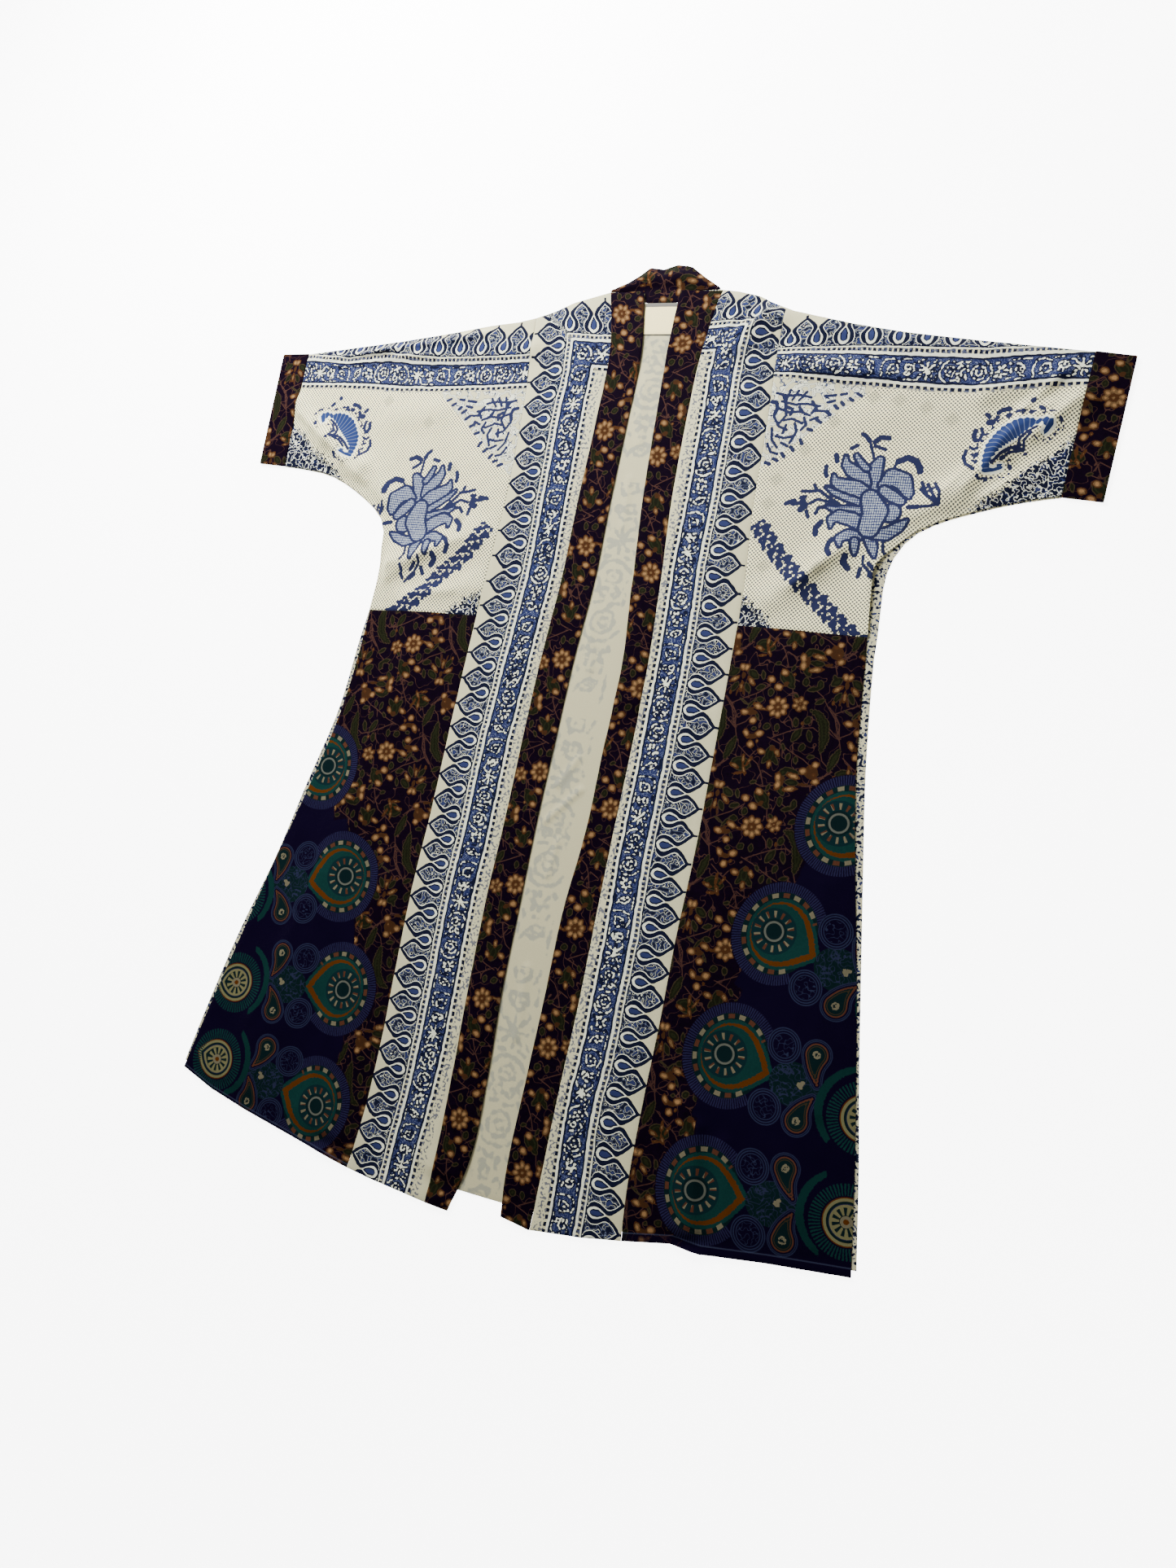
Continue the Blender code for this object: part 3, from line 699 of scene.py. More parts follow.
def closed_sheet(name, plan, underside, thickness, fields):
    """Thin closed cloth: dense upper faces, coarse under faces and a stitched rim."""
    nu, nv = plan.shape[:2]
    dip = SEAM_DIP * np.exp(-(border_distance(plan) / SEAM_DIP_WIDTH) ** 2)
    upper = underside + thickness - dip
    edge_mask = np.zeros((nu, nv), dtype=bool)
    edge_mask[[0, -1], :] = True
    edge_mask[:, [0, -1]] = True
    upper[edge_mask] -= RIM_DROP * thickness
    top_index = np.arange(nu * nv).reshape(nu, nv)
    low_plan = plan[::COARSE, ::COARSE]
    mu, mv = low_plan.shape[:2]
    low_index = nu * nv + np.arange(mu * mv).reshape(mu, mv)
    points = np.vstack([
        np.column_stack([plan.reshape(-1, 2), upper.ravel()]),
        np.column_stack([low_plan.reshape(-1, 2), underside[::COARSE, ::COARSE].ravel()]),
    ])
    faces = [tuple(f) for f in grid_quads(top_index)]
    faces += [tuple(f[::-1]) for f in grid_quads(low_index)]
    faces += rim_faces(top_index[:, 0], low_index[:, 0])
    faces += rim_faces(top_index[-1, :], low_index[-1, :])
    faces += rim_faces(top_index[::-1, -1], low_index[::-1, -1])
    faces += rim_faces(top_index[0, ::-1], low_index[0, ::-1])
    first = plan[1, 0] - plan[0, 0]
    second = plan[0, 1] - plan[0, 0]
    if first[0] * second[1] - first[1] * second[0] < 0.0:
        faces = [f[::-1] for f in faces]
    spread = {}
    for field, values in fields.items():
        shape = (-1, 3) if values.ndim == 3 else (-1,)
        spread[field] = np.concatenate([values.reshape(shape), values[::COARSE, ::COARSE].reshape(shape)])
    return make_object(name, points, faces, spread)


def linear(code):
    """Linear colour of an sRGB hex value."""
    parts = [int(code[i:i + 2], 16) / 255 for i in (1, 3, 5)]
    return tuple(p / 12.92 if p <= 0.04045 else ((p + 0.055) / 1.055) ** 2.4 for p in parts) + (1.0,)


def add_node(tree, kind, *values, out=0, points=()):
    """Adds a shader node, fills or joins its inputs in order, and gives one of its outputs, or all of them.

    A kind in capitals is the operation of a Math node. A second word is the operation of another node, or
    the name of the attribute that it reads.
    """
    kind, *words = ("Math " + kind if kind.isupper() else kind).split()
    node = tree.nodes.new("ShaderNode" + kind)
    for word in words:
        setattr(node, "attribute_name" if kind == "Attribute" else "operation", word)
    for socket, value in zip(node.inputs, values):
        if isinstance(value, bpy.types.NodeSocket):
            tree.links.new(value, socket)
        elif value is not None:
            socket.default_value = linear(value) if isinstance(value, str) else value
    if kind == "ValToRGB":
        node.color_ramp.interpolation = "CONSTANT"
        stops = node.color_ramp.elements
        stops.remove(stops[1])
        for position, code in points:
            stop = stops[0] if position == points[0][0] else stops.new(position)
            stop.color = linear(code)
    elif points:
        curve = node.mapping.curves[0]
        curve.points[0].location = points[0]
        curve.points[1].location = points[-1]
        for x, y in points[1:-1]:
            curve.points.new(x, y)
        for point in curve.points:
            point.handle_type = "AUTO_CLAMPED"
        node.mapping.update()
    return node.outputs if out is None else node.outputs[out]


# Pitch of the border's buds
BUD_PITCH = 31.6
# Width of its blue band
BLUE_BAND = 27.5
# Where its leaves start past the navy line, how far they reach, and half the height that their curve fills
LEAF_ROOT = 38.0
LEAF_REACH = 46.0
LEAF_HALF_HEIGHT = 16.0
# Half height of the leaves about their middles, and of the bud cores, at distances past the navy line
LEAF_EDGE = (
    (38, 15.9), (39.4, 15.2), (40.8, 12), (43.9, 9.4), (48, 8.2), (52.2, 9), (56.4, 11.3),
    (60.5, 13.6), (62.6, 14.2), (64.2, 14.1), (68.8, 11.6), (73, 8), (77.2, 4), (80.3, 0.8),
    (82, 0), (84, 0),
)
BUD_CORE = (
    (38, 0), (42, 0), (44.4, 2.9), (47.6, 4.3), (51.2, 4.3), (54.8, 2.9), (59.2, 0.8),
    (60.6, 0), (84, 0),
)

# Where the navy line of the border runs, outwards from the band seam, at each y down the strip
BORDER_LINE = {
    "left": (
        (-560, 27.5), (-520, 27), (-480, 24), (-440, 21), (-400, 19.5), (-320, 18.3), (-240, 19),
        (-160, 18.5), (-120, 19.3), (-40, 19), (0, 17.8), (40, 16.5), (80, 16.3), (120, 16.5), (160, 16),
        (200, 16.3), (240, 17), (280, 18), (320, 19.5), (360, 21.5), (400, 23), (440, 22),
    ),
    "right": (
        (-560, 22), (-540, 21.5), (-500, 19), (-460, 16.5), (-420, 16), (-400, 17.5), (-360, 18),
        (-320, 17), (-240, 18), (-200, 16.5), (-160, 15), (-40, 14.5), (0, 13.5), (80, 13.7), (160, 15),
        (190, 15), (220, 17.5), (250, 20), (280, 22), (360, 22), (400, 21), (440, 19),
    ),
}
# Heights of the buds between the border's leaves, from the hem up
BUDS = {
    "left": (
        -600, -568, -538, -508, -477, -446, -413, -383, -355, -323, -293, -260, -229.5, -200, -170, -140,
        -107, -77, -46, -17.5, 14, 48, 79.5, 110, 140.5, 173, 209, 239, 271, 303, 337, 374, 407, 441,
        474.5, 508, 540,
    ),
    "right": (
        -604, -572, -541, -511, -479, -445, -413, -382, -351, -322, -289, -259, -228, -197, -168, -134,
        -103, -73, -42, -11, 24, 54, 85.5, 115, 147.5, 184, 216, 249, 280, 314, 351, 388, 423, 455, 490,
        524,
    ),
}
# Heights where the blue band's run of motifs starts again
SCROLLS = {
    "left": (-670, -512, -357, -200, -48, 107, 272, 437, 600),
    "right": (-700, -540, -381, -224, -68, 90, 252, 427, 590),
}
SCROLL_LENGTH = 157.0
# How far its first motif reaches back past its start
SCROLL_LEAD = 10.0
# The border turns a corner below each shoulder: y where its navy line crosses to the neck, and its scale
SHOULDER_TURN = {"left": (449.0, 0.92), "right": (470.0, 1.05)}

# Block-printed motifs of the blue band. Columns: half width, then points a, s across and down the band
BAND_STROKES = (
    (1.1, (3, -7), (12, -9), (22, -6), (24, 2), (21, 9)),
    (1.1, (6, -1), (7, 5), (9, 10), (18, 7.5), (17, 1), (10, -1)), (1.3, (12, 4), (13, 4)),
    (0.8, (2, 12), (2, 30)), (1.2, (7, 17), (11, 18), (10, 22), (6, 21), (7, 17)),
    (1.2, (13, 17), (18, 17), (19, 22), (14, 22), (13, 17)), (1.2, (9, 24), (13, 27), (17, 25)),
    (0.9, (20, 26), (22, 30), (20, 33)), (1.3, (13, 40), (13, 31)), (1.3, (13, 40), (19, 33)),
    (1.2, (13, 40), (22, 40)), (1.3, (13, 40), (19, 47)), (1.2, (13, 40), (13, 49)),
    (1.2, (13, 40), (6, 46)), (1.3, (13, 40), (4, 40)), (1.2, (13, 40), (7, 33)),
    (1, (3, 31), (5, 34)), (1, (22, 46), (24, 49)), (1, (3, 47), (4, 51), (8, 51)),
    (1, (18, 51), (22, 53)), (0.9, (24, 34), (25, 37)),
    (1.1, (2, 61), (5, 56), (12, 53.5), (19, 56), (24, 62)),
    (1, (8, 62), (13, 59.5), (18, 62), (18, 67), (13, 69), (8, 67), (8, 62)),
    (1.1, (12, 64), (14, 65)), (1, (3, 66), (5, 71), (3, 75)), (1, (23, 67), (21, 72), (24, 76)),
    (1.1, (7, 73), (11, 72), (12, 76), (8, 78), (6, 75)), (1.1, (16, 72), (20, 75), (17, 79), (14, 76)),
    (1.2, (5, 82), (10, 81)), (1.2, (14, 83), (20, 82)), (0.9, (23, 80), (24, 84)),
    (1.1, (13, 87), (18, 88.5), (21, 94), (18, 100), (13, 102), (7, 100), (5, 94), (8, 88.5), (13, 87)),
    (1.1, (16, 92), (12, 91.5), (10, 95), (13, 98), (16, 96.5)),
    (1.2, (2, 98), (4, 104), (9, 107), (15, 107.5), (21, 105), (25, 100)), (1.7, (13, 112), (13, 114)),
    (1.7, (18, 114), (17, 116)), (1.7, (19, 120), (17, 119)), (1.7, (14, 123), (14, 121)),
    (1.7, (9, 122), (10, 120)), (1.7, (7, 117), (9, 117)), (1.6, (8, 112), (10, 114)),
    (1.1, (4, 111), (4, 113)), (1.1, (22, 111), (23, 113)), (1.2, (4, 124), (5, 127)),
    (1.2, (21, 125), (20, 127)), (1, (11, 127), (15, 127)),
    (1.2, (5, 141), (8, 136), (14, 132), (20, 133), (19, 137), (14, 140), (10, 139)),
    (1, (13, 136), (15, 136)), (0.9, (2, 132), (3, 138)), (0.8, (24.6, 12), (24.6, 22)),
    (0.8, (24.6, 128), (24.6, 148)),
)


def stroke_distance(strokes, x, y):
    """Signed distance to a set of strokes, negative inside. Each is its half width and its points."""
    nearest = np.full(np.shape(x), FAR)
    for half_width, *points in strokes:
        for start, end in zip(points[:-1], points[1:]):
            nearest = np.minimum(nearest, to_segment(x, y, *start, *end) - half_width)
    return nearest


def border_fields(plan, side_name):
    """Where each point of a strip lies in its border print."""
    x, y = np.moveaxis(plan, 2, 0)
    stations_y, line = np.array(BORDER_LINE[side_name], dtype=float).T
    outward = np.abs(x - lengthwise("band_" + side_name, y)) - np.interp(y, stations_y, line)
    buds = np.array(BUDS[side_name], dtype=float)
    bud = np.interp(y, buds, np.arange(len(buds)))
    turn_y, turn_scale = SHOULDER_TURN[side_name]
    upward = (y - turn_y) * turn_scale
    along = np.abs(x - lengthwise("band_" + side_name, y))
    turned_corner = upward > outward
    across = np.where(turned_corner, upward, outward)
    bud = np.where(turned_corner, along / BUD_PITCH + 0.25, bud)
    scrolls = np.array(SCROLLS[side_name], dtype=float)
    run = np.interp(y, scrolls, SCROLL_LENGTH * np.arange(len(scrolls)))
    run = np.where(turned_corner, along + 30.0, -run % SCROLL_LENGTH)
    run = np.where(run > SCROLL_LENGTH - SCROLL_LEAD, run - SCROLL_LENGTH, run)
    return {
        "border": np.stack([across, bud, np.where(turned_corner, along, y)], axis=2),
        "scroll": stroke_distance(BAND_STROKES, across, run),
    }


def cloth(name, base_colour, roughness, sheen, gloss):
    """A matt material with one base colour, and its shader."""
    material = bpy.data.materials.new(name)
    material.use_nodes = True
    shader = material.node_tree.nodes["Principled BSDF"]
    shader.inputs["Base Color"].default_value = linear(base_colour)
    shader.inputs["Roughness"].default_value = roughness
    shader.inputs["Sheen Weight"].default_value = sheen
    shader.inputs["Specular IOR Level"].default_value = gloss
    return material, shader


def printed_cloth(name, print_colour, roughness, sheen, gloss, weave_height):
    """A cloth material: its print's colour, the uneven dye of its threads, and the weave as relief."""
    material, shader = cloth(name, CREAM, roughness, sheen, gloss)
    tree = material.node_tree
    node = functools.partial(add_node, tree)
    place = node("TexCoord", out=3)
    colour = print_colour(node, place)
    slub = node("TexNoise", place, None, 900.0, 2.0, 0.6)
    colour = node("VectorMath SCALE", colour, None, None, node("MapRange", slub, 0.3, 0.7, 0.93, 1.05))
    tree.links.new(colour, shader.inputs["Base Color"])
    parts = node("SeparateXYZ", place, out=None)
    warp, weft = (node("SINE", node("MULTIPLY", part, WEAVE_TURN)) for part in parts[:2])
    weave = node("MULTIPLY_ADD", node("MULTIPLY", warp, weft), slub)
    bump = node("Bump", 0.35, weave_height, None, weave)
    tree.links.new(bump, shader.inputs["Normal"])
    return material


def laid_over(node, colour, within, layers):
    """A colour with inks laid over it in turn, each where its mask and a mask for them all allow it."""
    for mask, ink in layers:
        colour = node("MixRGB", node("MULTIPLY", mask, within), colour, ink)
    return colour


def border_colour(node, place):
    """Colours of the border print, from where each point lies in it."""
    spot = node("TexNoise", place, None, 110.0, 1.0, 0.5, out=1)
    spot = node("VectorMath SUBTRACT", spot, (0.5, 0.5, 0.5))
    # The hand-cut block wanders by about half a millimetre
    wander = node("VectorMath MULTIPLY", spot, (2.4, 0.07, 2.4))
    where = node("VectorMath ADD", node("Attribute border", out=1), wander)
    across, bud, along = node("SeparateXYZ", where, out=None)
    share = node("MapRange", across, -20.0, 100.0, 0.0, 1.0)
    colour = node("ValToRGB", share, points=[((x + 20) / 120, code) for x, code in (
        (-20.0, CREAM), (-3.8, WHITE), (-1.2, NAVY), (1.2, BLUE), (26.2, NAVY), (28.0, WHITE),
        (31.6, CREAM), (36.0, WHITE), (37.4, NAVY), (39.2, WHITE), (61.5, CREAM))])
    worn = node("TexNoise", place, None, 330.0, 0.0, 0.5)
    crumb = node("TexNoise", place, None, 215.0, 0.0, 0.5)
    crumb = node("ValToRGB", crumb, points=[
        (0.0, BUD_BLUE), (0.36, NAVY), (0.43, WHITE), (0.468, NAVY), (0.565, PALE_BLUE), (0.60, NAVY)])

    # White motifs of the blue band, with a thin dark outline
    motif = node("Attribute scroll", out=2)
    motif = node("ADD", motif, node("MapRange", worn, 0.3, 0.7, -0.7, 0.7))
    outline = node("LESS_THAN", motif, 0.9)
    white = node("LESS_THAN", motif, -0.42)
    in_band = node("COMPARE", across, 13.8, 12.4)
    tracery = node("COMPARE", worn, 0.5, 0.028)
    colour = laid_over(node, colour, in_band, ((tracery, PALE_BLUE), (outline, NAVY), (white, WHITE)))

    # Dashed lines on both sides of the band
    for middle, half, pitch, length in ((-5.5, 1.8, 7.6, 0.62), (33.7, 1.9, 5.9, 0.64)):
        row = node("FRACT", node("MULTIPLY", along, 1.0 / pitch))
        row = node("LESS_THAN", row, length)
        dash = node("MULTIPLY", row, node("COMPARE", across, middle, half))
        colour = node("MixRGB", dash, colour, NAVY)

    # Leaves that point outwards, each between two buds
    to_bud = node("MULTIPLY", node("PINGPONG", bud, 0.5), BUD_PITCH)
    to_leaf = node("SUBTRACT", BUD_PITCH / 2, to_bud)
    share = node("MapRange", across, LEAF_ROOT, LEAF_ROOT + LEAF_REACH, 0.0, 1.0)
    leaf, core = (
        node("MULTIPLY", node("FloatCurve", 1.0, share, points=[
            ((x - LEAF_ROOT) / LEAF_REACH, y / LEAF_HALF_HEIGHT) for x, y in shape]), LEAF_HALF_HEIGHT)
        for shape in (LEAF_EDGE, BUD_CORE))
    inner = node("SUBTRACT", leaf, to_leaf)
    level = node("MapRange", inner, -2.0, 8.0, 0.0, 1.0)
    drawn = node("ValToRGB", level, points=[(0.0, WHITE), (0.12, NAVY), (0.64, WHITE)])
    drawn = node("MixRGB", node("GREATER_THAN", inner, 5.4), drawn, crumb)
    past = node("COMPARE", across, 60.9, 22.2)
    within = node("MULTIPLY", node("GREATER_THAN", inner, -0.8), past)
    colour = node("MixRGB", within, colour, drawn)
    core = node("SUBTRACT", core, to_bud)
    edge_of_core = node("GREATER_THAN", core, 0.05)
    heart = node("GREATER_THAN", core, 1.6)
    colour = node("MixRGB", heart, node("MixRGB", edge_of_core, colour, NAVY), BUD_BLUE)
    tip = node("COMPARE", across, 82.2, 2.4)
    tip = node("MULTIPLY", tip, node("LESS_THAN", to_leaf, 1.3))
    colour = node("MixRGB", tip, colour, NAVY)

    # Faint crumbs of ink on the cream margins
    faint = node("MapRange", worn, 0.46, 0.39, 0.0, 0.85)
    margin = node("COMPARE", across, -12.0, 6.0)
    between = node("COMPARE", across, 33.7, 2.4)
    margin = node("MAXIMUM", margin, between)
    faint = node("MULTIPLY", faint, margin)
    return node("MixRGB", faint, colour, SLATE)


# One repeat of the dark floral, about its eight-petalled flower, and how far each row of repeats shifts
FLORAL_WIDTH = 117.0
FLORAL_HEIGHT = 137.0
FLORAL_SHIFT = 5.0
# Round flowers. Columns: x, y, petals, their distance out, half length, half width, turn
FLOWERS = (
    (0, 0, 8, 8.3, 4.1, 3.3, 10),
    (24, 6, 6, 5.4, 3.4, 2.7, 25),
)
# Petals and seeds, then what is brown, each an ellipse. Columns: x, y, half sizes, turn in degrees
PETALS = (
    (0, 0, 2.3, 2.1, 0), (24, 6, 1.2, 1.2, 0), (-23, -1, 5.6, 3.3, -25), (-15.5, -3.5, 3.4, 1.1, -12),
    (-37, -9, 5, 3.4, -10), (-26, -18, 4, 3.8, 0), (-31, -33, 3.1, 5.2, 30),
    (-16, -32, 4.8, 3.8, 20), (-24, -45, 4, 4, 0), (-13, 31, 4.6, 3.7, -25), (-3, 23, 4.8, 3.9, -15),
    (1, 40, 4.7, 3.6, -25), (-48.6, 42.5, 3.2, 4.2, 25), (-43.6, 42.5, 3.2, 4.2, -25),
    (-55.5, 28, 5.6, 2.5, 35), (-36, 27, 5.6, 2.5, -45), (-46.5, 20, 1.8, 5, 0),
    (19, 59, 3.4, 5, 15), (20, 50, 3.6, 5.2, -10), (36, 62, 7, 2.9, -12), (34, 47, 7.2, 2.9, 12),
    (-10, -52, 4.6, 3.1, -20), (8, -51, 4.2, 2.6, -55), (1, -65, 2.4, 4.2, 5), (52, -59, 3.8, 3.8, 0),
    (40, -68, 4.2, 3.7, 0), (55, -78, 4.2, 3.4, 20), (-29, -62, 1.4, 4.6, 0), (-38, -71, 4.8, 2.1, -18),
    (-26, -75, 1.5, 4.6, 25), (-22, -64, 1.1, 3.8, -28), (-33, -79, 3.6, 1.1, 10),
    (-58, 12, 1.2, 1.6, 0), (57, 66, 1.3, 1.7, 30), (12, 39, 1.4, 1.4, 0), (47, -62, 1.2, 1.8, 40),
    (-17, -41, 1.3, 1.6, 0), (30, -15, 1.2, 1.5, 0),
)
BROWNS = (
    (0, 0, 10.6, 10.6, 0), (24, 6, 7.2, 7.2, 0), (-28, -9, 5.5, 3.4, 10), (-31, -5, 4.4, 2.2, 30),
    (-24, -36, 6.4, 3, 0), (-46, 33, 2.6, 4.6, 0), (47, 54, 6, 2, 8), (-37, -9, 2.4, 1.6, 0),
    (49, -68, 7.6, 8.6, 20), (-43, 14, 1.3, 6.2, 12), (-50, 14, 1.3, 6.2, -12), (24, 55, 3.2, 6.6, 0),
    (5, 27, 4, 3, 40), (2, -47, 4, 3.2, 20),
)
# Pointed leaves, with the same columns
LEAVES = (
    (-57.5, 36, 6.4, 4.6, 35), (-34.5, 35, 6.4, 4.6, -35), (-54, 19, 6, 3.2, 60),
    (-39, 19, 6, 3.2, -60), (35, 54.5, 7.4, 3.9, 0), (33, 67.5, 8.4, 3, -14), (25, 45, 4.2, 6.6, 30),
    (24, 65, 4, 4.8, -40), (5, 34, 9.4, 7.2, -42), (10, 26, 5, 3.4, -30), (1, -54, 6.6, 8.6, 0),
    (-4, -60, 5.4, 3.2, 55), (7, -60, 5.4, 3.2, -50), (-31, -68, 10, 8, -10), (49, -69, 6.4, 6.4, 0),
    (-31, 1, 6.5, 1.8, 55), (-22, -12, 1.6, 5.4, 30), (-40, 3, 5.6, 1.4, -30), (23, -15, 3.3, 4.9, 10),
    (35, -11, 3.8, 4.4, -20), (26, -29, 4.2, 7.8, -28), (40, -28, 3.2, 6.2, 18),
    (34, -42, 3.3, 4.4, -20), (26, 32, 3.6, 4.4, 10), (42, 31, 3.6, 4.8, 0), (36, 25, 6.4, 2.9, 15),
    (45, 12, 5.6, 2.8, 32), (-22, 7, 4, 3.4, 0), (-23, 35, 2.5, 4.9, 15), (-24, 21, 5.2, 3.2, 20),
    (-11, 16, 3.6, 4, 0), (-9, -23, 3.8, 3.8, 30), (3, -23, 3, 4, 0), (21, -55, 2.9, 4.4, -10),
    (30, -57, 2.5, 4, 10), (-23, -27, 2.3, 2.3, 0), (45, -51, 4.2, 2.4, 10), (14, -44, 2.2, 3.6, 30),
    (-60, -20, 3, 2, 30), (10, 46, 2.2, 3.6, -20), (-8, 50, 3.4, 2.2, 20), (57, 40, 2.4, 4, 30),
    (19, 14, 2.2, 3.6, 40),
)
# Long serrated leaves. Columns: half width, then points of the spine
LONG_LEAVES = (
    (5.6, (36, 1), (45, -2), (53, -12), (56, -28), (55, -45)),
    (4.4, (-42, -38), (-46, -49), (-51, -65)),
)
# Middle lines of the vines, as points x, y
VINES = (
    ((-61, 7), (-54, 0), (-47, -11), (-45, -26), (-42, -37)), ((-54, 0), (-41, 7), (-26, 14), (-13, 24)),
    ((-45, -26), (-34, -20), (-28, -12)), ((-57, -17), (-45, -28)),
    ((24, 32), (37, 25), (47, 18), (55, 6), (64, -5), (70, -23)),
    ((-37, -48), (-26, -57), (-12, -66), (-6, -76), (-1, -90)), ((-11, -88), (-3, -91), (11, -88)),
    ((-6, -76), (-9, -83)), ((-4, -73), (6, -78)), ((-22, -59), (-17, -52)),
    ((-1, -35), (13, -28), (26, -22), (42, -18), (47, -21)),
    ((-5, -35), (8, -40), (26, -50), (38, -55), (45, -60)), ((15, 11), (13, 24), (12, 34)),
    ((8, 37), (12, 34), (18, 32)), ((47, 52), (56, 53), (66, 64), (74, 71)), ((55, 54), (58, 45)),
    ((-43, 20), (-41, 10)), ((-61, 62), (-49, 66), (-42, 72)), ((-51, -66), (-56, -74), (-62, -78)),
    ((55, -45), (58, -54), (70, -64)), ((20, -20), (18, -13), (14, -9)), ((30, -20), (33, -13)),
    ((26, -50), (24, -42)),
)


def turned(dx, dy, degrees):
    """Offsets in a frame that is turned anticlockwise."""
    c = math.cos(math.radians(degrees))
    s = math.sin(math.radians(degrees))
    return dx * c + dy * s, dy * c - dx * s


def ellipse_distance(x, y, row):
    """Signed distance, near enough, to one ellipse of a table."""
    cx, cy, rx, ry, turn = row
    along, over = turned(*wrapped(x - cx, y - cy), turn)
    return (np.hypot(along / rx, over / ry) - 1.0) * min(rx, ry)


def wrapped(dx, dy):
    """Offsets brought back to the nearest repeat of the floral."""
    rise = np.round(dy / FLORAL_HEIGHT)
    dx = dx - rise * FLORAL_SHIFT
    return dx - np.round(dx / FLORAL_WIDTH) * FLORAL_WIDTH, dy - rise * FLORAL_HEIGHT


def leaf_distance(x, y, row):
    """Signed distance, near enough, to one pointed leaf of a table."""
    cx, cy, rx, ry, turn = row
    along, over = turned(*wrapped(x - cx, y - cy), turn)
    if ry > rx:
        along, over, rx, ry = over, along, ry, rx
    bow = (1.5 * rx * rx + ry * ry) / (2.0 * ry)
    return np.hypot(along, np.abs(over) + bow - ry) - bow


def nearest_of(distance, rows, x, y):
    """Signed distance to the nearest form of a table."""
    return functools.reduce(np.minimum, (distance(x, y, row) for row in rows))


def wrapped_strokes(strokes, x, y, ripple):
    """Distance to strokes that repeat with the floral, and the same with a sign for their two sides.

    With a ripple they are leaves, serrated and narrow at both ends, and otherwise lines without a width.
    """
    nearest = np.full(np.shape(x), FAR)
    side_of = np.ones(np.shape(x))
    for half_width, *points in strokes:
        travelled = 0.0
        total = sum(math.dist(a, b) for a, b in zip(points[:-1], points[1:]))
        for (x0, y0), (x1, y1) in zip(points[:-1], points[1:]):
            dx, dy = wrapped(x - (x0 + x1) / 2, y - (y0 + y1) / 2)
            ax = x1 - x0
            ay = y1 - y0
            length = math.hypot(ax, ay)
            t = np.clip(((dx * ax + dy * ay) / length ** 2) + 0.5, 0.0, 1.0)
            away = np.hypot(dx + ax * (0.5 - t), dy + ay * (0.5 - t))
            if ripple:
                share = (travelled + t * length) / total
                width = half_width * np.sqrt(np.sin(math.pi * share) + 0.02)
                away = away - width - ripple * np.sin((travelled + t * length) * 1.7)
            side_of = np.where(away < nearest, np.sign(dx * ay - dy * ax), side_of)
            nearest = np.minimum(nearest, away)
            travelled += length
    return nearest, nearest * side_of


def floral_distances(x, y):
    """Fields of the dark floral at points of its own repeat."""
    round_flowers = []
    for cx, cy, count, out, half_length, half_width, turn in FLOWERS:
        for angle in (turn + 360.0 * k / count for k in range(count)):
            petal = (cx + out * math.cos(math.radians(angle)), cy + out * math.sin(math.radians(angle)),
                     half_length, half_width, angle)
            round_flowers.append(petal)
    petals = nearest_of(ellipse_distance, [*round_flowers, *PETALS], x, y)
    browns = nearest_of(ellipse_distance, BROWNS, x, y)
    leaves = np.minimum(wrapped_strokes(LONG_LEAVES, x, y, 0.7)[0], nearest_of(leaf_distance, LEAVES, x, y))
    vines, vine_sides = wrapped_strokes([(0.0, *points) for points in VINES], x, y, 0.0)
    return {"petals": petals, "browns": browns, "leaves": leaves, "vines": vines, "vine_sides": vine_sides}


def skirt_fields(plan, side_name):
    """The floral and the medallion border of a skirt panel."""
    x, y = np.moveaxis(plan, 2, 0)
    flower_x, flower_y = SKIRT_FLOWER[side_name]
    if side_name == "right":
        fields = floral_distances(x - flower_x, y - flower_y)
    else:
        fields = floral_distances(flower_x - x, (flower_y - y) * FLORAL_HEIGHT / LEFT_SKIRT_REPEAT)
    # The left hem shows its stitches right at the edge
    fields["hem"] = y - edge(FRONT_HEM, x) + (0.0 if side_name == "right" else 5.0)
    fields.update(medallion_fields(x, y, side_name))
    plain = fields["border_ground"] < 0.0
    for name in ("petals", "browns", "leaves", "vines"):
        fields[name] = np.where(plain, CLEAR, fields[name])
    return fields


def band_fields(plan, side_name):
    """The floral of a front band, at the places where its large flowers fall."""
    x, y = np.moveaxis(plan, 2, 0)
    places = np.array(BAND_FLOWERS[side_name], dtype=float)
    edge_x = lengthwise("edge_" + side_name, y)
    step = np.interp(y, places[:, 0], np.arange(len(places)))
    flower_u = np.interp(y, places[:, 0], places[:, 1])
    rise = step * FLORAL_HEIGHT
    if side_name == "right":
        return floral_distances(x - edge_x - flower_u + rise / FLORAL_HEIGHT * FLORAL_SHIFT, rise)
    return floral_distances(-(x - edge_x + flower_u) - rise / FLORAL_HEIGHT * FLORAL_SHIFT, -rise)


# Where the large flower falls on each cuff, and behind the neck
CUFF_FLOWER = {"left": (-478.0, 407.0), "right": (534.0, 413.0)}
NECK_FLOWER = (5.0, 635.0)
# And on the two skirts, the left one mirrored and upside down with a repeat of its own height
SKIRT_FLOWER = {"left": (-239.0, 66.0), "right": (237.0, 38.0)}
LEFT_SKIRT_REPEAT = 141.0

# Heights of the large flowers on the front bands, and how far out they lie from the opening
BAND_FLOWERS = {
    "left": ((-620, 24), (-483, 24), (-345, 22), (-208, 10), (-72, 10), (67, 15), (211, 20), (361, 27),
             (518, 30), (655, 30)),
    "right": ((-659, 20), (-522, 20), (-382, 18), (-245, 20), (-103, 24), (42, 28), (183, 22), (330, 10),
              (477, 18), (614, 18)),
}

